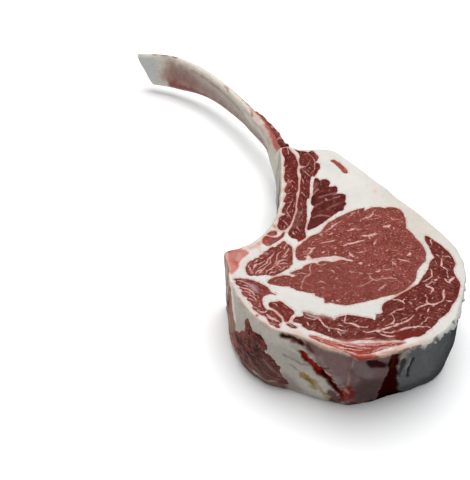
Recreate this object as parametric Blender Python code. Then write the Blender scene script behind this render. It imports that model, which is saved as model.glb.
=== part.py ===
"""Raw tomahawk steak: a thick slice of beef rib with the whole rib bone left on as a handle.

The slice lies flat, its lower cut face on z = 0 and its upper cut face on z = THICKNESS. The origin is
under the middle of the eye muscle. The rib runs up the left side and leaves the meat towards +Y, bending
to -X. Each muscle is a column that runs through the slice from cut face to cut face, set in one body of fat.
"""

import math

import bmesh
import bpy
import numpy as np
from mathutils import Vector

MM = 0.001

# Driving dimensions
THICKNESS = 56 * MM
GAP = 0.3 * MM
WALL_STEP = 5.0 * MM
MUSCLE_STEP = 4.6 * MM
RIM_ROUND = 1.4 * MM
RIB_MID_HEIGHT = 0.5 * THICKNESS
RIB_RINGS = 46
RIB_SIDES = 18
GROOVE_DEPTH = 1.6 * MM
GROOVE_STARTS = 0.42
MITRE_LIMIT = 0.25
READS_PER_SPAN = 12
RIB_READS = 400
TIP_PLACE = 0.962
TIP_SLANT_DEGREES = 27

# Outer edge of the upper cut face, anticlockwise from the chine tip: left, front, right, back and rib bay
OUTER_EDGE = [
    (-86, -13), (-84.5, -24), (-82.5, -34), (-80, -43), (-76.5, -53), (-71, -62.6), (-63, -71.6),
    (-53, -78.4), (-42, -82), (-31, -87.6), (-19, -93), (-7, -96.5), (6, -95), (18, -91), (30, -87),
    (41, -80), (51, -71), (58, -59), (64, -46), (69, -33), (70.5, -19), (67.5, -4), (60, 12), (51, 28),
    (41, 42), (32, 58),
    (22, 73), (12, 88), (2, 101), (-7, 105), (-18, 104.6), (-28, 105.4), (-36, 109), (-42.5, 106), (-43, 92),
    (-43.4, 76), (-44.4, 60), (-46, 44), (-48.2, 30), (-52.6, 16), (-59, 5), (-67, -3.4), (-77, -9),
]

# Muscles on the upper cut face
EYE = [
    (-59, -38), (-51, -41.6), (-43, -44), (-36, -47.4), (-30, -49.4), (-25, -55), (-18, -57.2), (-11, -58.6),
    (-4, -57), (5, -54.4), (13, -51.2), (22, -48.6), (30, -44.6), (35.4, -39), (38.6, -31), (43.4, -24.6),
    (47, -17), (48, -9), (46, -1), (42, 6.6), (40, 12.6), (41.4, 20), (41, 28), (36.4, 33), (29, 32.6),
    (22, 33.6), (13, 31.8), (4, 29.6), (-4, 25), (-11, 19.4), (-18, 13), (-24, 6.6), (-31, 0), (-37, -6.4),
    (-39, -13), (-37, -19), (-31.4, -18.8), (-22, -17.2), (-12, -16.8), (-5, -18.4), (-0.6, -20.2),
    (-7, -20.9), (-16, -20.9), (-24, -21), (-32, -24.8), (-38, -28), (-43.4, -31.4), (-50, -34.4),
]
CAP = [
    (50.6, 3.4), (51.4, -6), (52.4, -15), (48.6, -21.6), (45, -30), (39, -38.8), (32, -44.6), (24, -49.4),
    (15.6, -54), (11, -59), (8, -66), (2, -68.6), (-6, -66), (-13, -65.6), (-20, -68.8), (-29, -66.8),
    (-37, -65), (-44.6, -70), (-40, -75), (-32, -78.6), (-24, -82.8), (-14, -85), (-4, -85.2), (8, -84.8),
    (20, -83.4), (31, -80), (39, -73.6), (48, -66.4), (55, -58), (60.6, -48.6), (63.2, -40), (61.8, -32),
    (65, -24), (64.6, -15), (60.4, -6), (55, 1.6),
]
CHINE_MUSCLE = [
    (-45, -1.4), (-42, -7), (-40.9, -14), (-41.2, -21), (-46, -28), (-53, -33.4), (-61, -33.6), (-69, -33.4),
    (-72, -27.4), (-69, -21), (-62.6, -17), (-57.4, -12), (-51, -7),
]
FLAP_MUSCLE = [
    (-79.4, -36.4), (-77.4, -42), (-74.6, -49), (-71, -55.6), (-67, -62), (-61.4, -67.6), (-57.2, -73),
    (-53.4, -74.4), (-52.4, -72), (-56.4, -68), (-60.6, -62), (-61.2, -54), (-57.6, -49), (-59.6, -43),
    (-65, -39), (-72, -36.2),
]
FLAP_KNOB = [
    (-58.6, -59), (-55, -55), (-50.6, -55), (-46.4, -59.6), (-43, -64), (-45.8, -68), (-49, -71.4),
    (-53, -69), (-57, -65),
]
SIDE_MUSCLE = [
    (-20.6, 67.6), (-15, 67), (-9, 65), (-7.6, 59.4), (-3, 56.6), (-1.6, 50), (2.2, 45.4), (1.4, 37),
    (-3.4, 29.6), (-10, 23.4), (-17, 16.4), (-24, 10.6), (-29, 8.8), (-27.4, 17), (-25, 27), (-23.2, 37),
    (-21.6, 48), (-21, 58),
]
FLANK_LEAN = [
    (-28.6, 103), (-28.8, 92), (-28.6, 81), (-29.2, 70), (-30, 58), (-31.6, 47), (-34, 35), (-37, 23),
    (-40.6, 11.6), (-42.6, 5), (-39, 0.6), (-33, 0.4), (-30.8, 8), (-29.4, 17), (-27.6, 28), (-26.4, 38),
    (-24.4, 46), (-23, 54), (-22.4, 63), (-20.6, 70), (-15.6, 75), (-12.8, 82), (-14.6, 89), (-13, 96),
    (-15.6, 102.6), (-22, 103),
]
RIB_LEAN = [
    (-40.6, 104), (-41, 92), (-41.2, 78), (-42, 64), (-43.2, 50), (-45, 36), (-48.4, 24), (-52.4, 12.6),
    (-58.6, 3), (-60.4, -1.6), (-57, -6.2), (-52.6, -1.6), (-46.6, 3.6), (-43, 11.4), (-39, 22), (-36, 34),
    (-33.6, 46), (-32, 58), (-31.2, 70), (-30.6, 82), (-31, 94), (-34, 104.4),
]
RIM_LEAN = [
    (-36, -80.4), (-29, -85.6), (-20, -89.8), (-11, -92.8), (-6, -94.2), (0, -91.6), (8, -89.8), (12, -87.4),
    (2, -87.3), (-9, -87.5), (-19, -86.2), (-28, -82.6),
]
LEAN_FLECK = [(-3, 89.4), (0.4, 82), (4, 73.6), (8, 73.6), (8.4, 79), (4, 86), (-0.6, 91)]
CHINE_BONE = [
    (-90, -13), (-90, -24), (-87, -36), (-81, -34), (-76.6, -28), (-74.4, -21), (-69.6, -14.6), (-68.4, -9.4),
    (-74, -6), (-84, -6),
]

# The patch of outer muscle that shows low on the front left of the wall
OUTER_LEAN_CENTRE = (-68, -73, 24)
OUTER_LEAN_RADII = (24, 9.5, 24)
OUTER_LEAN_TURN_DEGREES = -41

# How the wall leans: degrees round from +X, outward shift at the floor, outward belly at half height, in mm
WALL_LEAN = [
    (0, 0.0, 0.8), (30, 0.0, 0.8), (60, 0.0, 0.6), (88, 0.0, 0.0), (170, 0.0, 0.0), (180, -1.0, 0.6),
    (198, 2.4, 2.0), (215, 3.2, 2.4), (232, 2.0, 2.0), (250, -1.0, 1.6), (268, -3.4, 1.4), (292, -3.4, 1.8),
    (302, -0.8, 2.2), (312, 2.4, 2.4), (324, 4.8, 2.0), (338, 1.6, 1.2), (350, 0.2, 0.8),
]
LEAN_CENTRE = (0, -20)
LUMP_HEIGHT = 0.7 * MM
WALL_LEVELS = (0.2, 0.38, 0.56, 0.74, 0.9)

# Middle line of the rib in plan, from inside the chine end to the free end, in mm
RIB_LINE = [
    (-71, -13), (-62, -6.4), (-54, 3), (-47.4, 16), (-42.4, 32), (-39, 50), (-37.4, 70), (-37.4, 90),
    (-39, 110), (-44.3, 143), (-50, 161), (-60, 181), (-70.4, 202), (-83, 223), (-98, 244.6), (-114.6, 263),
    (-134, 278), (-155, 290), (-190, 302),
]
# Along the rib, 0 to 1: width, height and middle height, in mm
RIB_SECTIONS = [
    (0.00, 11, 26, 28), (0.12, 12, 30, 28), (0.28, 12, 33, 28), (0.355, 12, 31, 29), (0.40, 11.6, 24, 30),
    (0.45, 11.6, 20, 30.5), (0.53, 12, 20.5, 30.5), (0.62, 12, 22, 30), (0.70, 12, 25, 30),
    (0.78, 12, 30, 29.5), (0.86, 12, 36, 29), (0.94, 11.6, 41, 29), (1.00, 11, 43, 29),
]
RIB_SQUARENESS = 2.5

# Lean left on the rib's upper outer edge beside the steak: from and to along the rib, and its thickest radius
HANDLE_LEAN_SPAN = (0.385, 0.545)
HANDLE_LEAN_RADIUS = 5.0 * MM
HANDLE_LEAN_TAPER = 0.72
HANDLE_LEAN_SUNK = 1.2 * MM
HANDLE_LEAN_BELOW_CREST = 2 * MM
HANDLE_LEAN_RINGS = 12
HANDLE_LEAN_SIDES = 12

ROUGHNESS_FAT, ROUGHNESS_BONE, ROUGHNESS_LEAN = 0.42, 0.5, 0.38

# Base colours, linear
COLOURS = {
    "eye_muscle": (0.21, 0.045, 0.036),
    "cap_muscle": (0.14, 0.022, 0.018),
    "chine_muscle": (0.18, 0.045, 0.037),
    "flap_muscle": (0.18, 0.034, 0.027),
    "flap_knob": (0.17, 0.030, 0.024),
    "side_muscle": (0.10, 0.018, 0.016),
    "flank_lean": (0.12, 0.022, 0.019),
    "upper_rib_lean": (0.13, 0.020, 0.017),
    "lower_rib_lean": (0.13, 0.020, 0.017),
    "rim_lean": (0.28, 0.050, 0.034),
    "lean_fleck": (0.22, 0.048, 0.040),
    "outer_lean": (0.09, 0.016, 0.014),
    "handle_lean": (0.20, 0.024, 0.019),
    "fat_body": (0.74, 0.69, 0.63),
    "rib_bone": (0.62, 0.57, 0.50),
    "chine_bone": (0.48, 0.25, 0.20),
}


def clear_scene():
    for old in list(bpy.data.objects):
        bpy.data.objects.remove(old, do_unlink=True)


def make_collection(name):
    collection = bpy.data.collections.new(name)
    bpy.context.scene.collection.children.link(collection)
    return collection


def material(name, colour, roughness):
    made = bpy.data.materials.new(name)
    made.use_nodes = True
    shader = made.node_tree.nodes["Principled BSDF"]
    shader.inputs["Base Color"].default_value = (*colour, 1.0)
    shader.inputs["Roughness"].default_value = roughness
    shader.inputs["Metallic"].default_value = 0.0
    return made


def smooth_line(points, closed):
    """A Catmull-Rom curve through the points, read READS_PER_SPAN times between each pair."""
    control = np.array(points, float)
    count = len(control)
    read = []
    for i in range(count if closed else count - 1):
        if closed:
            a, b, c, d = (control[(i + k) % count] for k in (-1, 0, 1, 2))
        else:
            a, b, c, d = (control[min(max(i + k, 0), count - 1)] for k in (-1, 0, 1, 2))
        for t in np.arange(READS_PER_SPAN) / READS_PER_SPAN:
            read.append(0.5 * (2 * b + (c - a) * t + (2 * a - 5 * b + 4 * c - d) * t**2
                               + (3 * b - a - 3 * c + d) * t**3))
    if not closed:
        read.append(control[-1])
    return np.array(read)


def spaced(line, count, closed):
    """The same line read at this many places that are the same distance apart."""
    if closed:
        line = np.vstack([line, line[:1]])
    length = np.concatenate([[0], np.cumsum(np.linalg.norm(np.diff(line, axis=0), axis=1))])
    where = np.linspace(0, length[-1], count + 1)[:-1] if closed else np.linspace(0, length[-1], count)
    return np.stack([np.interp(where, length, line[:, k]) for k in range(line.shape[1])], axis=1)


def ring_of(outline_mm, step):
    line = smooth_line(outline_mm, True) * MM
    perimeter = np.linalg.norm(np.diff(np.vstack([line, line[:1]]), axis=0), axis=1).sum()
    return spaced(line, int(round(perimeter / step)), True)


def outward(ring):
    """How each corner of an anticlockwise ring moves for its sides to move out by 1, held back if sharp."""
    side = np.roll(ring, -1, axis=0) - ring
    normal = np.stack([side[:, 1], -side[:, 0]], axis=1)
    normal /= np.linalg.norm(normal, axis=1, keepdims=True)
    before = np.roll(normal, 1, axis=0)
    spread = 1 + (normal * before).sum(axis=1, keepdims=True)
    return (normal + before) / np.maximum(spread, MITRE_LIMIT)


def anticlockwise(ring):
    turned = np.roll(ring, -1, axis=0)
    area = (ring[:, 0] * turned[:, 1] - ring[:, 1] * turned[:, 0]).sum()
    return ring if area > 0 else ring[::-1]


def wall_shift(ring, depth, reach):
    """How far the wall's lean and belly move these points. depth is 0 at the top and 1 at the floor."""
    centre = np.array(LEAN_CENTRE) * MM
    spoke = ring - centre
    distance = np.linalg.norm(spoke, axis=1)
    angle = np.degrees(np.arctan2(spoke[:, 1], spoke[:, 0])) % 360
    table = np.array(WALL_LEAN)
    lean = np.interp(angle, table[:, 0], table[:, 1], period=360) * depth
    belly = np.interp(angle, table[:, 0], table[:, 2], period=360) * math.sin(math.pi * depth)
    edge = np.interp(angle, reach[0], reach[1], period=360)
    share = np.clip(distance / edge, 0, 1) ** 2
    return spoke / distance[:, None] * ((lean + belly) * MM * share)[:, None]


def reach_by_angle(ring):
    """The outer edge's distance from the lean's centre, against the angle round it."""
    spoke = ring - np.array(LEAN_CENTRE) * MM
    angle = np.degrees(np.arctan2(spoke[:, 1], spoke[:, 0])) % 360
    order = np.argsort(angle)
    return angle[order], np.linalg.norm(spoke, axis=1)[order]


OUTER_RING = anticlockwise(ring_of(OUTER_EDGE, WALL_STEP))
REACH = reach_by_angle(OUTER_RING)


def mesh_object(name, vertices, faces, collection):
    mesh = bpy.data.meshes.new(name)
    mesh.from_pydata([tuple(v) for v in vertices], [], faces)
    made = bpy.data.objects.new(name, mesh)
    collection.objects.link(made)
    shape = bmesh.new()
    shape.from_mesh(mesh)
    bmesh.ops.recalc_face_normals(shape, faces=shape.faces)
    shape.to_mesh(mesh)
    shape.free()
    return made


def loft(name, rings, collection):
    """A closed solid through rings of equal length, with a flat cap on each end."""
    count = len(rings[0])
    vertices = np.vstack(rings)
    faces = []
    for level in range(len(rings) - 1):
        low, high = level * count, (level + 1) * count
        for i in range(count):
            j = (i + 1) % count
            faces.append((low + i, low + j, high + j, high + i))
    faces.append(tuple(range(count - 1, -1, -1)))
    faces.append(tuple((len(rings) - 1) * count + i for i in range(count)))
    return mesh_object(name, vertices, faces, collection)


def column_rings(outline_mm, grow, low, high):
    """Rings of a muscle between two heights, leaning as the wall does. grow leaves a gap round it."""
    ring = anticlockwise(ring_of(outline_mm, MUSCLE_STEP))
    grown = ring + outward(ring) * grow
    middle = [THICKNESS * k / 3 for k in (1, 2)]
    heights = [low] + [z for z in middle if low < z < high] + [high]
    rings = []
    for z in heights:
        depth = 1 - min(max(z / THICKNESS, 0), 1)
        moved = grown + wall_shift(ring, depth, REACH)
        rings.append(np.column_stack([moved, np.full(len(ring), z)]))
    return rings


def wall_rings(grow):
    """Rings of the slice's outer wall from the floor up, with rounded rims and low lumps."""
    normals = outward(OUTER_RING)
    around = np.arange(len(OUTER_RING)) * 2 * math.pi / len(OUTER_RING)
    edge = RIM_ROUND / THICKNESS
    levels = [(0, 1.0), (0.35 * edge, 0.45), (1.6 * edge, 0.0), *((up, 0.0) for up in WALL_LEVELS),
              (1 - 1.2 * edge, 0.0), (1 - 0.3 * edge, 0.4), (1, 1.0)]
    rings = []
    for up, inset in levels:
        depth = 1 - up
        lumps = np.sin(9 * around + 5 * up) * np.sin(14 * around - 4 * up + 1) * math.sin(math.pi * up)
        moved = OUTER_RING + wall_shift(OUTER_RING, depth, REACH)
        moved = moved + normals * (grow + LUMP_HEIGHT * lumps - RIM_ROUND * inset)[:, None]
        rings.append(np.column_stack([moved, np.full(len(moved), up * THICKNESS)]))
    return rings


def rib_frame(along):
    """Centre and outer side of the rib's line at these places, 0 to 1, and its width, height and middle."""
    line = spaced(smooth_line(RIB_LINE, False) * MM, RIB_READS, False)
    heading = np.gradient(line, axis=0)
    share = np.linspace(0, 1, RIB_READS)
    centre = np.stack([np.interp(along, share, line[:, k]) for k in (0, 1)], axis=1)
    heading = np.stack([np.interp(along, share, heading[:, k]) for k in (0, 1)], axis=1)
    heading /= np.linalg.norm(heading, axis=1, keepdims=True)
    outer = np.stack([heading[:, 1], -heading[:, 0]], axis=1)
    table = np.array(RIB_SECTIONS)
    size = [np.interp(along, table[:, 0], table[:, k]) * MM for k in (1, 2, 3)]
    return centre, outer, size


def rib_rings(grow):
    along = np.linspace(0, 1, RIB_RINGS)
    centre, outer, (width, height, middle) = rib_frame(along)
    turn = np.arange(RIB_SIDES) * 2 * math.pi / RIB_SIDES
    power = 2 / RIB_SQUARENESS
    side = np.sign(np.cos(turn)) * np.abs(np.cos(turn)) ** power
    up = np.sign(np.sin(turn)) * np.abs(np.sin(turn)) ** power
    rings = []
    for i in range(RIB_RINGS):
        groove = np.where(side < 0, np.exp(-((up / 0.45) ** 2)), 0) * (along[i] > GROOVE_STARTS)
        across = side * (width[i] / 2 + grow) + GROOVE_DEPTH * groove
        plan = centre[i] + across[:, None] * outer[i]
        rings.append(np.column_stack([plan, middle[i] + up * (height[i] / 2 + grow)]))
    return rings


def handle_lean_rings():
    """A tapered strip along the rib's upper outer edge, half sunk in the bone that is then cut out of it."""
    along = np.linspace(*HANDLE_LEAN_SPAN, HANDLE_LEAN_RINGS)
    centre, outer, (width, height, middle) = rib_frame(along)
    turn = np.arange(HANDLE_LEAN_SIDES) * 2 * math.pi / HANDLE_LEAN_SIDES
    fade = np.linspace(0, 1, HANDLE_LEAN_RINGS)
    rings = []
    for i in range(HANDLE_LEAN_RINGS):
        radius = HANDLE_LEAN_RADIUS * (1 - HANDLE_LEAN_TAPER * fade[i])
        across = width[i] / 2 - HANDLE_LEAN_SUNK + radius * np.cos(turn)
        up = middle[i] + height[i] / 2 - HANDLE_LEAN_BELOW_CREST + 1.2 * radius * np.sin(turn)
        rings.append(np.column_stack([centre[i] + across[:, None] * outer[i], up]))
    return rings


def boolean(target, other, operation):
    modifier = target.modifiers.new(operation.lower(), "BOOLEAN")
    modifier.operation = operation
    modifier.object = other
    modifier.solver = "EXACT"
    bpy.context.view_layer.objects.active = target
    bpy.ops.object.modifier_apply(modifier=modifier.name)


def cut_tip(target):
    """Saws the free end off the rib on a slant, its lower edge shorter than its upper."""
    centre, outer, _ = rib_frame(np.array([TIP_PLACE]))
    heading = np.array([-outer[0][1], outer[0][0]])
    slant = math.radians(TIP_SLANT_DEGREES)
    normal = Vector((heading[0] * math.cos(slant), heading[1] * math.cos(slant), -math.sin(slant)))
    shape = bmesh.new()
    shape.from_mesh(target.data)
    everything = shape.verts[:] + shape.edges[:] + shape.faces[:]
    at = Vector((*centre[0], RIB_MID_HEIGHT))
    cut = bmesh.ops.bisect_plane(shape, geom=everything, plane_co=at, plane_no=normal, clear_outer=True)
    rim = [e for e in cut["geom_cut"] if isinstance(e, bmesh.types.BMEdge)]
    bmesh.ops.edgeloop_fill(shape, edges=rim)
    bmesh.ops.recalc_face_normals(shape, faces=shape.faces)
    shape.to_mesh(target.data)
    shape.free()


def as_cutter(made):
    made.hide_render = True
    made.display_type = "WIRE"
    return made


def finish(made, roughness):
    made.data.materials.clear()
    made.data.materials.append(material(made.name, COLOURS[made.name], roughness))
    made.data.shade_smooth()
    made.data.set_sharp_from_angle(angle=math.radians(40))


def cut_all(target, collection):
    """Cuts every solid of the collection out of the target at once."""
    modifier = target.modifiers.new("pockets", "BOOLEAN")
    modifier.operation = "DIFFERENCE"
    modifier.operand_type = "COLLECTION"
    modifier.collection = collection
    modifier.solver = "EXACT"
    bpy.context.view_layer.objects.active = target
    bpy.ops.object.modifier_apply(modifier=modifier.name)


def lean_ball(name, grow, collection):
    """The rounded lump that the outer muscle's patch is cut from, turned along the wall."""
    bpy.ops.mesh.primitive_uv_sphere_add(segments=28, ring_count=16, radius=1, location=(0, 0, 0))
    ball = bpy.context.object
    ball.name = name
    ball.data.name = name
    spin = math.radians(OUTER_LEAN_TURN_DEGREES)
    for vertex in ball.data.vertices:
        x, y, z = (c * (r * MM + grow) for c, r in zip(vertex.co, OUTER_LEAN_RADII))
        vertex.co = (x * math.cos(spin) - y * math.sin(spin), x * math.sin(spin) + y * math.cos(spin), z)
        vertex.co += Vector(OUTER_LEAN_CENTRE) * MM
    for old in list(ball.users_collection):
        old.objects.unlink(ball)
    collection.objects.link(ball)
    return ball


def build():
    clear_scene()
    steak = make_collection("tomahawk_steak")
    tools = make_collection("cutters")
    pockets = make_collection("pockets")
    floor, top, beyond = 0.0, THICKNESS, 1.5 * MM
    through = {
        "eye_muscle": EYE, "cap_muscle": CAP, "chine_muscle": CHINE_MUSCLE, "flap_muscle": FLAP_MUSCLE,
        "flap_knob": FLAP_KNOB, "side_muscle": SIDE_MUSCLE, "flank_lean": FLANK_LEAN, "rim_lean": RIM_LEAN,
        "lean_fleck": LEAN_FLECK, "chine_bone": CHINE_BONE,
    }
    fat = loft("fat_body", wall_rings(0), steak)
    wall_tool = as_cutter(loft("wall_cutter", wall_rings(0), tools))
    rib = loft("rib_bone", rib_rings(0), steak)
    cut_tip(rib)
    rib_tool = as_cutter(loft("rib_cutter", rib_rings(GAP), pockets))

    muscles = {}
    for name, outline in through.items():
        muscles[name] = loft(name, column_rings(outline, 0, floor, top), steak)
    middle = RIB_MID_HEIGHT
    for name, low, high in (("upper_rib_lean", middle, top), ("lower_rib_lean", floor, middle)):
        muscles[name] = loft(name, column_rings(RIB_LEAN, 0, low, high), steak)
    muscles["outer_lean"] = lean_ball("outer_lean", 0, steak)

    for name, outline in {**through, "rib_lean": RIB_LEAN}.items():
        as_cutter(loft(name + "_cutter", column_rings(outline, GAP, floor - beyond, top + beyond), pockets))
    outer_tool = as_cutter(lean_ball("outer_lean_cutter", GAP, pockets))

    for name in ("outer_lean", "chine_bone"):
        boolean(muscles[name], wall_tool, "INTERSECT")
    for name in ("flap_muscle", "flap_knob"):
        boolean(muscles[name], outer_tool, "DIFFERENCE")
    for name in ("upper_rib_lean", "lower_rib_lean", "flank_lean", "chine_muscle"):
        boolean(muscles[name], rib_tool, "DIFFERENCE")
    boolean(rib, pockets.objects["chine_bone_cutter"], "DIFFERENCE")
    cut_all(fat, pockets)

    muscles["handle_lean"] = loft("handle_lean", handle_lean_rings(), steak)
    for tool in (rib_tool, as_cutter(loft("wall_grown_cutter", wall_rings(GAP), tools))):
        boolean(muscles["handle_lean"], tool, "DIFFERENCE")

    finish(fat, ROUGHNESS_FAT)
    finish(rib, ROUGHNESS_BONE)
    for made in muscles.values():
        finish(made, ROUGHNESS_LEAN)


build()
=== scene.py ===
import math

import bpy
import numpy as np
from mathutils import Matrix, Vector, kdtree
from mathutils.bvhtree import BVHTree
from mathutils.geometry import delaunay_2d_cdt


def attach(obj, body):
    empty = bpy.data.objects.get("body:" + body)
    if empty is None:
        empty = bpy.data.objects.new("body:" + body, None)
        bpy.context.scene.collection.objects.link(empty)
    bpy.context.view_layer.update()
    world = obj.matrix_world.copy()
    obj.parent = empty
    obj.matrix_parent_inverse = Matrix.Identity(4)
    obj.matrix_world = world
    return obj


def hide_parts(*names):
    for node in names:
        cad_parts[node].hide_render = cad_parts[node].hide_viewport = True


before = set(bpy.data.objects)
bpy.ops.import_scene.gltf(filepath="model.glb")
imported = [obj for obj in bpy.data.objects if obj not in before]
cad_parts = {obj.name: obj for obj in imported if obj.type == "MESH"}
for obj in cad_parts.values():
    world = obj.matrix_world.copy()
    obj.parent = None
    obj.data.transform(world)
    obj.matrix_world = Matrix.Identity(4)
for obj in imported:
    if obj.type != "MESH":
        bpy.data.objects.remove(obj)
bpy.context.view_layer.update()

# The studio: a pale floor, two large soft boxes above the steak and a dim room. The camera looks along +Y and
# down on the upper cut face, from in front of the steak.
MM = 0.001
LENS_MM, SENSOR_MM = 43.7, 36.0
CAMERA_PLACE, CAMERA_TILT = (-0.079, -0.286, 0.331), 46  # metres, and degrees up from straight down
FLOOR_HALF, FLOOR_HEIGHT, FLOOR_GREY = 4, -0.0002, 0.92
SOFT_BOXES = [((-0.03, 0.32, 1.26), 1.0, 15.0), ((0.25, 0.0, 1.4), 1.4, 6.6)]  # place, size in m, watts
LIT_POINT = Vector((-0.02, 0.02, 0))
ROOM_TINT, ROOM_STRENGTH = (0.96, 0.98, 1.0, 1), 0.385

camera = bpy.data.objects.new("camera", bpy.data.cameras.new("camera"))
camera.data.lens = LENS_MM
camera.data.sensor_width = SENSOR_MM
camera.location = CAMERA_PLACE
camera.rotation_euler = (math.radians(CAMERA_TILT), 0, 0)
bpy.context.collection.objects.link(camera)
bpy.context.scene.camera = camera
bpy.context.scene.view_settings.view_transform = "Standard"

floor_mesh = bpy.data.meshes.new("studio_floor")
floor_corners = [(x * FLOOR_HALF, y * FLOOR_HALF, FLOOR_HEIGHT)
                 for x, y in ((-1, -1), (1, -1), (1, 1), (-1, 1))]
floor_mesh.from_pydata(floor_corners, [], [(0, 1, 2, 3)])
floor = bpy.data.objects.new("studio_floor", floor_mesh)
bpy.context.collection.objects.link(floor)
floor_paint = bpy.data.materials.new("studio_paper")
floor_paint.use_nodes = True
paper = floor_paint.node_tree.nodes["Principled BSDF"].inputs
paper["Base Color"].default_value = (FLOOR_GREY, FLOOR_GREY, FLOOR_GREY, 1)
paper["Roughness"].default_value = 0.9
paper["Specular IOR Level"].default_value = 0.1
floor_mesh.materials.append(floor_paint)

for place, size, power in SOFT_BOXES:
    box = bpy.data.lights.new("soft_box", "AREA")
    box.size = size
    box.energy = power
    lamp = bpy.data.objects.new("soft_box", box)
    lamp.location = place
    lamp.rotation_euler = (LIT_POINT - Vector(place)).to_track_quat("-Z", "Y").to_euler()
    bpy.context.collection.objects.link(lamp)
room = bpy.data.worlds.new("room")
room.use_nodes = True
room.node_tree.nodes["Background"].inputs["Color"].default_value = ROOM_TINT
room.node_tree.nodes["Background"].inputs["Strength"].default_value = ROOM_STRENGTH
bpy.context.scene.world = room

# The slice: sawn right through the rib roast, 56 mm thick, with the rib up its left side. The outer edge is
# the outline of the upper cut face; the wall below it leans and bellies a little, as soft meat does.
THICK = 56.0
RIM = 1.0  # radius of the rounded edge between a cut face and the wall
EDGE_STEP = 0.92
EDGE = [
    (-86, -13), (-84.5, -24), (-82.5, -34), (-80, -43), (-76.5, -53), (-71, -62.6), (-63, -71.6), (-53, -78.4),
    (-42, -82), (-31, -87.6), (-19, -93), (-7, -96.5), (6, -95), (18, -91), (30, -87), (41, -80), (51, -71),
    (58, -59), (64, -46), (69, -33), (70.5, -19), (67.5, -4), (60, 12), (51, 28), (41, 42), (32, 58), (22, 73),
    (12, 88), (2, 101), (-7, 105), (-18, 104.6), (-28, 105.4), (-36, 109), (-42.5, 106), (-43, 92), (-43.4, 76),
    (-44.4, 60), (-46, 44), (-48.2, 30), (-52.6, 16), (-59, 5), (-67, -3.4), (-77, -9),
]
LEAN_CENTRE = np.array((0.0, -20.0))
# Bearing from the centre, the wall's lean at the floor and its belly half way down.
WALL_LEAN = np.array([
    (0, 0.0, 0.8), (30, 0.0, 0.8), (60, 0.0, 0.6), (88, 0.0, 0.0), (170, 0.0, 0.0), (180, -1.0, 0.6),
    (198, 2.4, 2.0), (215, 3.2, 2.4), (232, 2.0, 2.0), (250, -1.0, 1.6), (268, -3.4, 1.4), (292, -3.4, 1.8),
    (302, -0.8, 2.2), (312, 2.4, 2.4), (324, 4.8, 2.0), (338, 1.6, 1.2), (350, 0.2, 0.8),
])


def smooth_line(points, closed=False):
    """A Catmull-Rom curve through the points, read 12 times between each pair."""
    control = np.array(points, float)
    count = len(control)
    read = []
    for i in range(count if closed else count - 1):
        places = [(i + k) % count if closed else min(max(i + k, 0), count - 1) for k in (-1, 0, 1, 2)]
        a, b, c, d = control[places]
        for t in np.arange(12) / 12:
            read.append(0.5 * (2 * b + (c - a) * t + (2 * a - 5 * b + 4 * c - d) * t**2
                               + (3 * b - a - 3 * c + d) * t**3))
    return np.array(read if closed else read + [control[-1]])


def spaced(line, step, closed=False):
    """The line read at even distances of about step millimetres."""
    if closed:
        line = np.vstack([line, line[:1]])
    length = np.concatenate([[0], np.cumsum(np.linalg.norm(np.diff(line, axis=0), axis=1))])
    count = max(int(round(length[-1] / step)), 2) + 1
    where = np.linspace(0, length[-1], count)[: -1 if closed else None]
    return np.stack([np.interp(where, length, line[:, k]) for k in range(line.shape[1])], axis=1)


def cloud(points, size, seed):
    """Smooth random values from -1 to 1, one lump every size millimetres."""
    q = np.asarray(points, float) / size + 31.7 * seed + 0.37
    cell = np.floor(q).astype(np.int64)
    part = q - cell
    part = part * part * (3 - 2 * part)
    total = np.zeros(len(q))
    for corner in np.ndindex(*(2,) * q.shape[1]):
        at = (cell + corner) @ np.array((73856093, 19349663, 83492791))[: q.shape[1]] & 0x7FFFFFFF
        at = (at ^ at >> 13) * 1274126177 & 0x7FFFFFFF
        at = (at ^ at >> 15) * 668265263 & 0x7FFFFFFF
        value = ((at ^ at >> 11) & 0xFFFF) / 32767.5 - 1
        total += value * np.prod(np.where(corner, part, 1 - part), axis=1)
    return total


def soft(value, low, high):
    """0 below low, 1 above high and smooth between them."""
    t = np.clip((value - low) / (high - low), 0, 1)
    return t * t * (3 - 2 * t)


def bearing(points):
    """Direction in degrees of points of the face, seen from LEAN_CENTRE."""
    spoke = points - LEAN_CENTRE
    return np.degrees(np.arctan2(spoke[:, 1], spoke[:, 0])) % 360


def wall_shift(points, depth):
    """How far the wall's lean and belly move points of the face. depth is 0 at the top and 1 at the floor."""
    spoke = points - LEAN_CENTRE
    distance = np.linalg.norm(spoke, axis=1) + 1e-9
    angle = bearing(points)
    sway, belly = (np.interp(angle, WALL_LEAN[:, 0], WALL_LEAN[:, k], period=360) for k in (1, 2))
    share = np.clip(distance / np.interp(angle, *edge_reach, period=360), 0, 1) ** 2
    return spoke / distance[:, None] * ((sway * depth + belly * np.sin(math.pi * depth)) * share)[:, None]


edge_line = spaced(smooth_line(EDGE, True), EDGE_STEP, True)
order = np.argsort(bearing(edge_line))
edge_reach = bearing(edge_line)[order], np.linalg.norm(edge_line - LEAN_CENTRE, axis=1)[order]
edge_way = np.roll(edge_line, -1, axis=0) - np.roll(edge_line, 1, axis=0)
edge_out = np.stack([edge_way[:, 1], -edge_way[:, 0]], axis=1) / np.linalg.norm(edge_way, axis=1)[:, None]
edge_line = edge_line + edge_out * (0.30 * cloud(edge_line, 6, 3) + 0.18 * cloud(edge_line, 2.2, 4))[:, None]
face_edge = edge_line - edge_out * RIM


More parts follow.
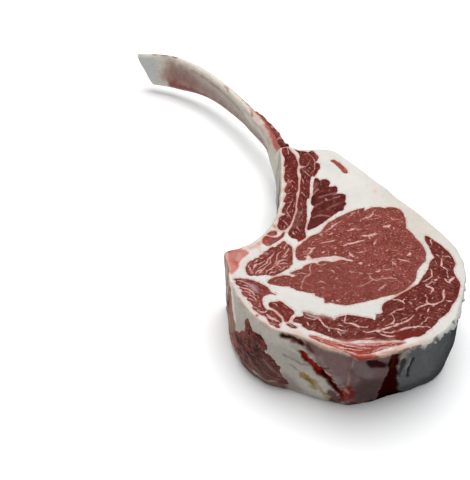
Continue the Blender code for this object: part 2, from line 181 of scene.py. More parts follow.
# Lean meat: dark red muscle cut across its fibres, moist and softly glossy, with pale fat in its seams, fine
# flecks of fat between the fibre bundles and a thin pale skin at its rim.
def shader(name):
    """An empty material, and a function that adds nodes to it."""
    made = bpy.data.materials.new(name)
    made.use_nodes = True
    tree = made.node_tree
    tree.nodes.clear()

    def add(kind, values=None, **settings):
        node = tree.nodes.new("ShaderNode" + kind)
        for key, value in settings.items():
            setattr(node, key, value)
        for key, value in (values or {}).items():
            if isinstance(value, bpy.types.NodeSocket):
                tree.links.new(value, node.inputs[key])
            else:
                node.inputs[key].default_value = value
        return node

    return made, add


def noise(add, size, detail=2.0, rough=0.5, where=None, stretch=(1, 1, 1), turn=0.0):
    """Noise with a lump every size millimetres, stretched and turned in plan."""
    if where is None:
        where = add("TexCoord").outputs["Object"]
    mapped = add("Mapping", {"Vector": where, "Rotation": (0, 0, math.radians(turn)),
                             "Scale": tuple(s * size * MM for s in stretch)}, vector_type="TEXTURE")
    return add("TexNoise", {"Vector": mapped.outputs[0], "Scale": 1.0, "Detail": detail,
                            "Roughness": rough}).outputs["Fac"]


def between(add, value, low, high, to_low=0.0, to_high=1.0):
    """The value's way from low to high, made smooth and mapped to new ends."""
    made = add("MapRange", {"Value": value, "From Min": low, "From Max": high, "To Min": to_low,
                            "To Max": to_high}, interpolation_type="SMOOTHSTEP")
    return made.outputs[0]


def maths(add, action, *values):
    """One sum of numbers or sockets."""
    return add("Math", dict(enumerate(values)), operation=action).outputs[0]


def mixed(add, share, a, b, way="MIX"):
    """Two colours or sockets mixed by share."""
    made = add("Mix", {0: share}, data_type="RGBA", blend_type=way)
    for socket, value in ((made.inputs[6], a), (made.inputs[7], b)):
        if isinstance(value, bpy.types.NodeSocket):
            made.id_data.links.new(value, socket)
        else:
            socket.default_value = (*value, 1)
    return made.outputs[2]


def shaded(add, share, tone, value, dark, light):
    """The tone times a shade that goes from dark to light with the value."""
    return mixed(add, share, tone, mixed(add, value, dark, light), "MULTIPLY")


def field(add, name, colour=False):
    """The mesh's own number or colour of that name."""
    return add("Attribute", attribute_name=name).outputs["Color" if colour else "Fac"]


def fibre_place(add, across):
    """A place made of the distance along the fibres and the distance across them."""
    return add("CombineXYZ", {k: maths(add, "MULTIPLY", field(add, name), MM)
                              for k, name in enumerate(("along_mm", across))}).outputs[0]


def close(add, colour, roughness, height, depth, coat, level):
    """The surface itself: gloss, and a bump from the height, depth in millimetres."""
    bump = add("Bump", {"Height": height, "Strength": 0.6, "Distance": depth * MM})
    surface = add("BsdfPrincipled", {"Base Color": colour, "Roughness": roughness, "Specular IOR Level": level,
                                     "Normal": bump.outputs[0], "Coat Weight": coat, "Coat Roughness": 0.22})
    add("OutputMaterial", {"Surface": surface.outputs[0]})


def lean(name, red, dark, seam=(0.52, 0.32, 0.28), flecks=0.5, fleck_size=0.9, streaks=0.3, streak_size=1.6,
         turn=15.0, rough=0.44, coat=0.0, mottle=(7, 0.18)):
    """Lean meat of one muscle: two reds, its fat, and how strong the flecks and the streaks along it are.
    mottle is the size in mm of the patches of the two reds and how soft their change is."""
    made, add = shader(name)
    patches, blur = mottle
    base = mixed(add, between(add, noise(add, patches, 3, 0.6), 0.5 - blur, 0.5 + blur), dark, red)
    grain = mixed(add, 0.45, noise(add, 1.5, 3, 0.65), noise(add, 0.8, 2, 0.7))
    base = shaded(add, 1.0, base, between(add, grain, 0.38, 0.60), (0.68, 0.64, 0.62), (1.32, 1.40, 1.40))
    # fibre bundles: dark gaps between them and pale fat streaks along them
    bundle = noise(add, streak_size, 3, 0.6, fibre_place(add, "across_mm"), (5, 1, 1))
    base = mixed(add, between(add, bundle, 0.46, 0.30, 0.0, 0.45), base, tuple(0.55 * c for c in dark))
    base = mixed(add, between(add, bundle, 0.57, 0.72, 0.0, streaks), base, seam)
    speck = noise(add, fleck_size, 3, 0.6, None, (1.9, 1, 1), turn)
    base = mixed(add, between(add, speck, 0.58, 0.70, 0.0, flecks), base, seam)
    # fat seams and the skin at the rim, both with a frayed edge
    wander = maths(add, "MULTIPLY_ADD", noise(add, 1.1, 3, 0.65), 0.8, -0.4)
    strength = between(add, noise(add, 3.0, 2, 0.5), 0.34, 0.58, 0.45, 0.95)
    seams = between(add, maths(add, "ADD", field(add, "seam_mm"), wander), 0.28, -0.42)
    base = mixed(add, maths(add, "MULTIPLY", seams, strength), base, seam)
    rim = maths(add, "ADD", field(add, "rim_mm"), wander)
    skin = tuple(0.5 * a + 0.5 * b for a, b in zip(seam, red))
    base = mixed(add, between(add, rim, 0.60, -0.10, 0.0, 0.6), base, skin)
    patch = shaded(add, 0.6, field(add, "tint", True), bundle, (0.6, 0.6, 0.6), (1.35, 1.35, 1.35))
    base = mixed(add, field(add, "cover"), base, patch)
    height = mixed(add, 0.35, noise(add, 0.55, 3, 0.6), bundle)
    close(add, base, rough, height, 0.3, coat, 0.05)
    return made


# The eye muscle: the large middle muscle of the rib, brownish red with short strokes of marbling that rise to
# the right, fine pale flecks all over and one wedge of fat that runs in from the left.
LOOP_STEP, SEAM_STEP = 0.7, 0.55  # between the points of a muscle's rim, and of its fat seams
SEAM_CLEAR, SEAM_REACH = 0.4, 6.0  # seams end this far from the rim, and are felt as far as this
cut_loops = {}


def ragged(line, size=1.0):
    """Shifts points of the cut face by one field for all pieces, so that neighbours still meet."""
    shift = [size * (0.22 * cloud(line, 3.4, k) + 0.16 * cloud(line, 1.5, k + 4)) for k in (1, 2)]
    return line + np.stack(shift, axis=1)


def nearest(tree_points, points, count=1):
    """Distances to and numbers of the nearest of tree_points, for each point."""
    tree = kdtree.KDTree(len(tree_points))
    for i, p in enumerate(tree_points):
        tree.insert((*p, 0.0)[:3], i)
    tree.balance()
    found = [tree.find_n((*p, 0.0)[:3], count) for p in points]
    return np.array([[f[2] for f in row] for row in found]), np.array([[f[1] for f in row] for row in found])


def gap_to(line, points):
    """Distance from each point to the nearest point of the line."""
    return nearest(line, points)[0][:, 0]


def inside(loop, points):
    """Which points lie inside the loop."""
    odd = np.zeros(len(points), bool)
    for (x0, y0), (x1, y1) in zip(loop, np.roll(loop, -1, axis=0)):
        if y0 != y1:
            crosses = (points[:, 1] > y0) != (points[:, 1] > y1)
            odd ^= crosses & (points[:, 0] < x0 + (points[:, 1] - y0) * (x1 - x0) / (y1 - y0))
    return odd


def widened(strokes, factor):
    """The strokes with their widths times the factor."""
    return [(points, factor * width) for points, width in strokes]


def fat_lines(strokes, seed):
    """Points along the fat seams of a muscle, with half their width there on the upper and the lower face."""
    dice = np.random.default_rng(seed)
    places, upper, lower = [], [], []
    for points, width in strokes:
        line = spaced(smooth_line(points), SEAM_STEP)
        line = line + 0.35 * np.stack([cloud(line, 2.2, seed), cloud(line, 2.2, seed + 1)], axis=1)
        along = np.linspace(0, 1, len(line))
        half = width / 2 * (0.45 + 0.55 * np.sin(math.pi * along)) * (1 + 0.35 * cloud(line, 1.6, seed + 2))
        places.append(line)
        upper.append(half)
        lower.append(half * dice.uniform(-0.2, 1.5))
    return np.vstack(places), np.concatenate(upper), np.concatenate(lower)


def seam_gaps(points, fat_at, *halves):
    """Distance from each point to the edge of the nearest fat seam, for each set of half widths."""
    far, which = nearest(fat_at, points, 4)
    return [np.minimum((far - half[which]).min(axis=1), SEAM_REACH) for half in halves]


def short_strokes(outline, count, seed, length, width, heading, spread):
    """Random short strokes of fat inside a muscle, as (points, width)."""
    dice = np.random.default_rng(seed)
    loop = np.array(outline, float)
    spots = dice.uniform(loop.min(0), loop.max(0), (count * 3, 2))
    spots = spots[inside(loop, spots)]
    made = []
    for spot in spots[gap_to(loop, spots) > 2.0][:count]:
        turn = math.radians(heading + dice.normal(0, spread))
        reach = dice.uniform(0.4, 1.0) ** 2 * length / 2
        step = np.array((math.cos(turn), math.sin(turn))) * reach
        sag = np.array((-step[1], step[0])) * dice.normal(0, 0.25)
        made.append(([spot - step, spot + sag, spot + step], width * dice.uniform(0.5, 1.2)))
    return made


def piece(name, points, faces, fields, finish):
    """A mesh object from points in millimetres, with one number or colour a point for each field."""
    mesh = bpy.data.meshes.new(name)
    mesh.from_pydata((np.asarray(points) * MM).tolist(), [], faces)
    for label, values in fields.items():
        values = np.asarray(values, np.float32)
        if values.ndim == 1:
            mesh.attributes.new(label, "FLOAT", "POINT").data.foreach_set("value", values)
        else:
            values = np.column_stack([values, np.ones(len(values), np.float32)])
            mesh.attributes.new(label, "FLOAT_COLOR", "POINT").data.foreach_set("color", values.ravel())
    mesh.shade_smooth()
    mesh.set_sharp_from_angle(angle=math.radians(50))
    mesh.materials.append(finish)
    made = bpy.data.objects.new(name, mesh)
    bpy.context.collection.objects.link(made)
    return made


def upper_height(points, gap, crown):
    """Height of the upper cut face: a faint groove where pieces meet, a low crown and small unevenness."""
    lumps = 0.22 * cloud(points, 9, 11) + 0.13 * cloud(points, 3.4, 12) + 0.05 * cloud(points, 1.5, 13)
    return THICK - 0.30 * np.exp(-((gap / 0.9) ** 2)) + crown * (1 - np.exp(-gap / 5)) + lumps * soft(gap, 0, 2)


def lower_height(points, gap):
    """Height of the lower cut face, which lies nearly flat on the floor."""
    return 0.3 * np.exp(-((gap / 0.9) ** 2)) + 0.12 * (1 + cloud(points, 7, 14)) * soft(gap, 0, 2)


def triangles(loops, spacing, seed, extra=np.zeros((0, 2))):
    """Triangles between the first loop and the others, with a point about every spacing millimetres. The last
    result gives, for each point, its number among the points of the loops, or -1."""
    dice = np.random.default_rng(seed)
    low, high = loops[0].min(0), loops[0].max(0)
    x, y = np.meshgrid(np.arange(low[0], high[0], spacing), np.arange(low[1], high[1], spacing * 0.866))
    x[1::2] += spacing / 2
    grid = np.column_stack([x.ravel(), y.ravel()])
    grid += dice.uniform(-0.12, 0.12, grid.shape) * spacing
    fixed = np.vstack(loops + [extra])
    points = np.vstack([fixed, grid[gap_to(fixed, grid) > 0.55 * spacing]])
    starts = np.cumsum([0] + [len(loop) for loop in loops])
    outlines = [list(range(a, b)) for a, b in zip(starts[:-1], starts[1:])]
    places, _, made, source, _, owner = delaunay_2d_cdt([Vector(p) for p in points], [], outlines, 1, 1e-6)
    kept = np.array([face for face, own in zip(made, owner) if list(own) == [0]])
    first = np.array([s[0] if s else -1 for s in source])
    used, kept = np.unique(kept, return_inverse=True)
    return np.array(places)[used], kept.reshape(-1, 3), first[used]


def open_sides(faces):
    """The directed sides that only one triangle has."""
    count = faces.max() + 1
    a, b = faces.ravel(), np.roll(faces, -1, axis=1).ravel()
    alone = ~np.isin(a * count + b, b * count + a)
    return np.column_stack([a[alone], b[alone]])


def both_sides(faces, count):
    """Faces of a slab's upper side and of its lower side, which has the same points count places later."""
    return faces.tolist() + (faces[:, ::-1] + count).tolist()


def slab(faces, count):
    """Faces of a whole slab: both sides and the walls between their rims."""
    return both_sides(faces, count) + [(a, a + count, b + count, b) for a, b in open_sides(faces)]


def line_gap(places, line):
    """Distance from each place to a line of straight lengths."""
    best = np.full(len(places), 1e9)
    for p, q in zip(np.array(line[:-1], float), np.array(line[1:], float)):
        way = q - p
        t = np.clip((places - p) @ way / max(way @ way, 1e-9), 0, 1)
        best = np.minimum(best, np.linalg.norm(places - p - t[:, None] * way, axis=1))
    return best


def toward(tone, colour, amount):
    """The tone moved towards a colour by the amount at each point."""
    return tone + (np.array(colour) - tone) * amount[:, None]


def painted(tone, relief, places, patches, seed):
    """Lays soft-edged ragged patches over the tone and the relief. A patch is (half width, points, colour,
    blur, raggedness, cover, rise), with half width 0 for an area."""
    for k, (half, points, colour, blur, rag, cover, rise) in enumerate(patches, seed):
        if half:
            gap = line_gap(places, points) - half
        else:
            outline = np.array(points, float)
            gap = line_gap(places, [*outline, outline[0]]) * np.where(inside(outline, places), -1, 1)
        gap = gap + rag * (0.75 * cloud(places, 4.5, k) + 0.4 * cloud(places, 1.7, k + 60))
        amount = cover * (1 - soft(gap, -blur, blur))
        tone = toward(tone, colour, amount)
        relief = relief + rise * amount / max(cover, 0.01)
    return tone, relief


def tinted(places, marks, seed):
    """The fields for marks on lean: how far they cover each place, and their colour there, for both faces."""
    clear = np.zeros((len(places), 3))
    cover = painted(clear, 0, places, [(*m[:2], (1, 1, 1), *m[3:]) for m in marks], seed)[0]
    tint = painted(clear, 0, places, marks, seed)[0] / np.maximum(cover, 1e-3)
    return {"cover": np.tile(cover[:, 0], 2), "tint": np.tile(tint, (2, 1))}


def muscle(name, finish, outline, strokes, seed, crown=0.35, heading=0.0, bend=0.0, spacing=0.85, low=0.0,
           high=THICK, marks=()):
    """A column of lean from cut face to cut face, with fields for its rim, its fat seams and its fibres.
    marks are patches of another colour on its faces."""
    loop = ragged(spaced(smooth_line(outline, True), LOOP_STEP, True))
    cut_loops[name] = loop
    fat_at, *halves = fat_lines(strokes, seed)
    kept = inside(loop, fat_at)
    kept[kept] = gap_to(loop, fat_at[kept]) > SEAM_CLEAR
    flat, faces, _ = triangles([loop], spacing, seed, fat_at[kept])
    gap = gap_to(loop, flat)
    turn = math.radians(heading)
    x, y = (flat - loop.mean(0)).T
    along = x * math.cos(turn) + y * math.sin(turn)
    across = -x * math.sin(turn) + y * math.cos(turn) + bend * along**2 / 60
    across += 0.8 * cloud(flat, 9, seed + 5) + 0.3 * cloud(flat, 3, seed + 6)
    over, under = (flat + wall_shift(flat, 1 - z / THICK) for z in (high, low))
    top = np.column_stack([over, upper_height(flat, gap, crown) - THICK + high])
    bottom = np.column_stack([under, lower_height(under, gap) + low])
    made = piece(name, np.vstack([top, bottom]), slab(faces, len(flat)),
                 {"rim_mm": np.tile(gap, 2), "seam_mm": np.concatenate(seam_gaps(flat, fat_at, *halves)),
                  "across_mm": np.tile(across, 2), "along_mm": np.tile(along, 2),
                  **tinted(flat, marks, seed)}, finish)
    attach(made, "root")
    return made


EYE = [
    (-58.7, -39.2), (-57.7, -40.5), (-56.1, -41.5), (-53.8, -42.1), (-51.5, -42.6), (-49.2, -43),
    (-46.9, -43.1), (-44.7, -43.2), (-44, -44.4), (-42.9, -44.7), (-41.4, -45.7), (-39.8, -46.5),
    (-37.8, -46.9), (-35.8, -47.6), (-33.9, -48.2), (-31.9, -48.7), (-29.8, -48.7), (-29.4, -50.6),
    (-28, -51.3), (-26, -52.1), (-24.4, -52.4), (-24.2, -54.2), (-24.4, -56.3), (-23.4, -56.7), (-21.8, -56.5),
    (-20.5, -56.2), (-19.2, -56.7), (-17.5, -57.5), (-15.6, -57.8), (-13.6, -58.3), (-11.3, -58.5),
    (-9.1, -58.3), (-6.8, -57.8), (-4.8, -57), (-2.5, -56.4), (-0.2, -55.8), (3, -54.9), (7, -53.6),
    (10.6, -52), (14, -51), (18, -50.2), (22, -49), (25.4, -47.3), (28, -45.3), (30.6, -43), (33, -40.5),
    (35, -38.2), (36.4, -35.8), (37.4, -33), (38, -31), (39.2, -28.6), (41, -26), (43, -24), (45, -22),
    (46.4, -20), (47.2, -17), (47.6, -15), (48, -12), (47.8, -8), (46.5, -3.4), (44.8, 0), (43.9, 2.6),
    (43, 5.9), (41.4, 8.9), (39.9, 10.8), (40.1, 12.4), (40.6, 15.2), (41.4, 19.3), (41.5, 23.5), (41, 27.4),
    (39.7, 30.5), (37.6, 32.3), (34.3, 33.3), (30.9, 32.9), (28.4, 32.2), (25.9, 33.2), (22.5, 33.4),
    (19.2, 32.7), (16.6, 31.3), (14.1, 29.3), (14.3, 30.8), (14.4, 32.2), (12.1, 32), (9.1, 31), (4.9, 29),
    (0.8, 26.8), (-2.6, 24.3), (-6.8, 21.7), (-11.6, 18.3), (-15, 15), (-16.4, 13.2), (-18.1, 10.1), (-20.2, 7),
    (-23.7, 5), (-27.6, 2.7), (-30, 0.2), (-31.3, -1.4), (-32.9, -3.1), (-34.5, -4.9), (-36.2, -6.5),
    (-37.5, -8.2), (-38.3, -9.8), (-38.8, -11.8), (-39, -13.7), (-39, -15.7), (-38.7, -17.6), (-37.9, -19.3),
    (-36.8, -20.1), (-35.2, -20.4), (-33.2, -20.2), (-32.2, -19.5), (-31.9, -18), (-31.4, -16.5),
    (-30.4, -15.8), (-29.5, -16.7), (-28.8, -18), (-28, -18.8), (-27, -18.6), (-25.4, -18), (-23.4, -17.6),
    (-21.5, -17.4), (-19.2, -17.1), (-16.9, -16.6), (-14.9, -16.3), (-13, -16.3), (-10.4, -16.7), (-8.4, -17.3),
    (-6.4, -18.2), (-4.8, -18.9), (-3.2, -19.6), (-1.6, -20.2), (-2.2, -21.2), (-3.8, -20.8), (-5.8, -20.1),
    (-7.7, -19.5), (-9.7, -19.4), (-11.3, -19.9), (-13, -20.6), (-14.3, -21.4), (-16.2, -21.4), (-18.2, -20.9),
    (-20.8, -20.6), (-23.1, -20.8), (-24.4, -21.6), (-24.9, -22.4), (-25.4, -23.3), (-26.6, -22.7),
    (-27.6, -22.3), (-29.3, -22.5), (-31.3, -23.4), (-33.2, -24.7), (-34.9, -26.1), (-35.8, -27.4),
    (-38.4, -28.5), (-41.1, -29.9), (-42.9, -31), (-44, -31.9), (-42.6, -32.8), (-41, -33.5), (-41.2, -34.3),
    (-42.4, -34.8), (-43.4, -34.6), (-44.6, -33.6), (-47.6, -33.3), (-50.2, -33.8), (-52.8, -34.6),
    (-55.4, -35.8), (-57.7, -37.4),
]
EYE_SEAMS = [
    ([(-6, -7), (-4.4, -6.4), (-2.4, -5.2), (0.6, -4.6), (3, -3.8), (6, -2.8), (9, -2)], 1.15),
    ([(16.4, -2.8), (15, -4.6), (14.4, -6.8)], 1), ([(2.4, -14), (4.6, -13), (6, -12.8)], 0.8),
    ([(7.2, -12.6), (8.6, -12)], 0.5),
    ([(27.8, -19), (29.6, -20), (31.4, -21), (33, -21.4), (35.4, -22.4)], 0.9),
    ([(34.6, -16), (36.4, -15)], 0.9), ([(36, -14), (37.6, -14.4)], 0.8), ([(36.2, -15.3), (37, -15.1)], 1.3),
    ([(23.8, -21.6), (24, -23.4), (23.4, -25.4)], 0.9), ([(24, -23.6), (26, -24.6)], 0.8),
    ([(2, -23.8), (3.2, -23.4)], 1.9), ([(7.4, -25), (8.6, -26)], 0.6),
    ([(14.2, -28.8), (13.8, -30.4), (12.2, -31), (10.8, -31)], 0.9),
    ([(16.6, -29.2), (20, -29), (22.6, -29.8)], 0.5), ([(0, -31.4), (1.4, -32), (2.6, -33)], 0.6),
    ([(5.2, -32.6), (6.8, -32.8), (9, -32.4)], 1),
    ([(6.6, -34), (7, -36), (8.4, -38), (10.6, -39), (11.6, -38.8)], 0.9),
    ([(10.8, -38.6), (13, -37.4), (16, -36.8), (19, -36.6), (21.4, -36.8), (23.6, -37)], 0.9),
    ([(20.6, -34.6), (21.2, -36.6)], 0.6),
    ([(8.8, -38.4), (5.6, -40.2), (2.4, -42), (0, -43.4), (-2.8, -44)], 0.75),
    ([(10, -46.4), (11.8, -45), (13.8, -44), (15.4, -42.4), (16.2, -41.6)], 1),
    ([(11, -44.4), (11, -47.6)], 0.6),
    ([(-31, -15.8), (-30.4, -14.6), (-28.6, -12), (-27, -9.8), (-25.4, -8.6)], 1.3),
    ([(-27.2, -9.6), (-30.4, -9.6)], 0.9), ([(-31.8, -17), (-33.6, -17.6)], 0.8),
    ([(-21, -4.8), (-19, -3.8), (-16.4, -3.2), (-13.8, -2.6), (-11, -1.8)], 1.2), ([(-8, -4), (-6.4, -3)], 0.6),
    ([(-12.2, -9.6), (-11.4, -8.8)], 1.1), ([(-21.4, -13.6), (-19.4, -12.8)], 0.9),
    ([(-3.2, -13), (-2.6, -15.6), (-1.4, -17), (-0.6, -17.6)], 1.1), ([(-12, -13.4), (-12.6, -14.4)], 0.7),
    ([(-26, -23.4), (-24.4, -24.4), (-22.4, -25), (-20.6, -24.2), (-19.4, -23.4)], 1),
    ([(-29.4, -23.4), (-30, -25), (-30.6, -28), (-30.2, -31), (-30.4, -32.6), (-32.4, -34.2), (-34.2, -35.6),
      (-35.4, -38), (-36.8, -41), (-37.4, -43.4), (-36.8, -44.8)], 0.95),
    ([(-31.6, -32.4), (-33, -32.6), (-36, -32.4), (-39, -32.4)], 0.7), ([(-25.2, -30), (-23, -30.4)], 1.2),
    ([(-17.6, -29.6), (-16, -30.2), (-15.4, -31.8)], 1), ([(-13.2, -27), (-12.8, -27)], 0.9),
    ([(-5.6, -30.4), (-4, -31.2), (-2, -31.2)], 1.2), ([(-14.8, -37.2), (-14, -36.8)], 1.8),
    ([(-17.8, -35.8), (-17.3, -35.6)], 0.6), ([(-25.6, -39.2), (-24.2, -39.4), (-22.6, -39.8)], 1.1),
    ([(-21.8, -41), (-22.4, -40)], 0.9), ([(-24, -44), (-24, -45)], 1.1), ([(-6.7, -46.5), (-6.1, -46.3)], 0.8),
    ([(-9.6, -49), (-11.4, -50.6)], 0.8), ([(-16.7, -55.2), (-16.1, -54.8)], 1),
    ([(-1.4, -36.2), (-1, -35.8)], 0.6), ([(-34.6, -40.4), (-33, -41.6)], 0.5),
    ([(-13, -44), (-12.4, -45.2)], 0.4), ([(-6, -42.6), (-5.4, -43.8)], 0.4),
    ([(-17, -47.6), (-16.6, -48.8)], 0.4), ([(-3, -50), (-2.6, -51.4)], 0.4),
    ([(-17, 6.8), (-13.5, 9.7), (-11, 12.2), (-8.9, 14.2), (-6.4, 16.4), (-3.9, 18.3)], 0.85),
    ([(-12.4, 12.6), (-10.6, 13.6)], 1), ([(0, 20.6), (2.4, 23.1), (4.9, 24.8)], 0.5),
    ([(10, 18.9), (12.5, 20.2), (15, 21.4), (17.5, 23.1), (18.8, 24.4), (19.6, 26.5), (19.8, 29)], 0.75),
    ([(20, 24), (21.7, 23.7), (23.4, 23.1)], 0.5),
    ([(23.8, 11.6), (25.9, 12.2), (27.6, 12.6), (29.2, 13.5)], 1.5), ([(26, 11.4), (28.8, 11.4)], 0.9),
    ([(30.5, 9.5), (31.7, 10.5)], 0.9), ([(-1.6, 7.4), (0.8, 8), (2.8, 9.3), (4.3, 9.7)], 1),
    ([(5.4, 8), (7, 8.9), (8.7, 9.3)], 0.5),
    ([(7, 1.9), (9.5, 2.2), (12, 2.6), (14.2, 3), (16.2, 3.9), (18.3, 4.4)], 1.8),
    ([(12.2, 1.2), (12.5, 0.4), (13.3, -0.8)], 1.1), ([(14.6, 1.6), (14.8, 0.3)], 0.8),
    ([(-13.5, 3.9), (-12.2, 5.1)], 1.1), ([(-21.4, 4.2), (-18.9, 4.9)], 0.6), ([(-19.8, 3), (-18.9, 2.2)], 0.5),
    ([(-10.6, 8.9), (-9.3, 8.5)], 0.7), ([(9.5, 18), (8.3, 16.4)], 0.6),
    ([(2, 14.7), (0.8, 13.5), (0, 12.2)], 0.5), ([(30.9, 21), (31.5, 20)], 0.8),
    ([(31, 18.9), (33.8, 19.3), (36, 19.5)], 0.5), ([(23.4, 0.5), (23.8, -0.8)], 0.8),
    ([(38.4, 18), (38, 16.4)], 0.7), ([(4.1, 26), (5.8, 26.9)], 0.5), ([(8.3, 27.3), (9.5, 28.1)], 0.4),
    ([(22, -12), (23, -11.4)], 0.5), ([(34, -4), (34.8, -5)], 0.4), ([(28, 4.6), (28.8, 5.2)], 0.5),
    ([(-24, -1.6), (-22.8, -1)], 0.5), ([(-26.6, -4), (-25.6, -3.4)], 0.6), ([(18.6, -14.4), (19.6, -14)], 0.5),
    ([(-8.6, -23.6), (-7.6, -23.8)], 0.5), ([(30, -31), (31, -30.4)], 0.4), ([(40, -19), (40.8, -18)], 0.5),
]
EYE_MARKS = [
    (0, [(-42, -28), (-22, -24), (0, -28), (20, -38), (12, -52), (-16, -56), (-40, -44), (-56, -40)],
     (0.165, 0.036, 0.027), 9, 3, 0.5, 0),
    (0.6, [(-43.6, -32.6), (-41.6, -33), (-40.4, -33.4)], (0.42, 0.2, 0.16), 1.0, 0.6, 0.7, 0),
    (1.0, [(43, 4), (47, -6), (47.4, -13), (45.6, -19.6), (41, -25), (37.6, -31), (35, -37.6)],
     (0.21, 0.062, 0.056), 1.4, 0.8, 0.55, 0),
]
eye_lean = lean("eye_lean", (0.196, 0.044, 0.034), (0.148, 0.027, 0.020), seam=(0.58, 0.34, 0.30), flecks=0.7,
                streaks=0.14, turn=18)
eye_strokes = widened(EYE_SEAMS, 1.3) + short_strokes(EYE, 70, 5, 2.6, 0.5, 24, 20)
eye = muscle("eye_muscle_flesh", eye_lean, EYE, eye_strokes, 5, crown=0.5, heading=20, spacing=0.65,
             marks=EYE_MARKS)
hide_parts("eye_muscle")

# The cap: the dark crescent of muscle that wraps the eye at the front and right, cut by branching seams of
# fat, with its layers lying along the crescent, and its loose tail at the left.
CAP = [
    (51.4, 3.4), (50.2, 0), (50.6, -4), (51.2, -8), (51.6, -12), (52, -15), (52.2, -17.6), (51.2, -18.4),
    (49.6, -20.2), (48.2, -22), (47.2, -24), (46, -27), (44.8, -29.4), (43.4, -31.6), (41.4, -34),
    (39.6, -36.6), (37.8, -39), (36, -41), (33, -42.9), (30.4, -44.8), (27.4, -46.9), (24.6, -48.7),
    (21.6, -50.5), (19.4, -52), (17.3, -53.5), (14.6, -54.6), (12.7, -55.8), (11.5, -57.2), (10.7, -59),
    (10.2, -61.4), (10, -63.6), (9, -64.4), (8.2, -65.1), (6.5, -65.2), (5.5, -66.6), (4.8, -68.2),
    (4.1, -69.6), (2.8, -68.6), (1.1, -67.9), (-1.6, -67.4), (-4.3, -66.7), (-7, -66.1), (-9.7, -65.7),
    (-11.7, -65.5), (-13, -65.8), (-15.1, -66.5), (-17.8, -67.2), (-18.8, -68.2), (-19.8, -69.7),
    (-20.8, -68.5), (-21.8, -67.2), (-24.5, -66.4), (-27.2, -65.9), (-29.9, -65.8), (-32.6, -65.1),
    (-35.3, -64.1), (-37.4, -63.3), (-38.3, -64.2), (-38, -65.6), (-39, -66.7), (-42, -67.2), (-43.6, -68.2),
    (-44.6, -69.4), (-44.9, -70.5), (-44, -71.4), (-42.6, -71.7), (-40.9, -72.3), (-39.6, -73), (-39.4, -74.2),
    (-38.4, -75.2), (-37, -76), (-35.6, -77.2), (-33.2, -77.7), (-30.9, -78.9), (-28.5, -79.8), (-26.5, -81),
    (-24.2, -82), (-21.8, -83.3), (-19.1, -84.2), (-16.4, -85), (-13.7, -85.4), (-11, -85.1), (-8.3, -84.4),
    (-5.6, -84.2), (-2.3, -84.3), (1.1, -84.5), (4.5, -84.5), (7.8, -84.7), (11.2, -84.7), (13.9, -84.3),
    (16.6, -84.3), (18.6, -84), (21.3, -83), (24, -82.2), (28, -81.4), (31.6, -79.8), (33.4, -78),
    (35.6, -76.6), (37.4, -75), (38.8, -73.4), (41, -71), (43, -68.8), (45.6, -66.8), (48, -65), (50.6, -62.6),
    (52.4, -59.8), (54, -57.6), (55.8, -55.8), (57.4, -53.6), (58.8, -51.2), (60.2, -48.6), (61.6, -45.4),
    (62.8, -42.4), (63.3, -40.2), (63.2, -38.2), (62.6, -36), (62, -34), (61.8, -31), (62.4, -28),
    (63.6, -25.8), (65, -24), (65.2, -21), (65, -18), (64.6, -15.4), (63.8, -13), (62.6, -10.6), (61, -7.8),
    (59, -4.6), (57, -2), (55.4, 0), (54, 2),
]
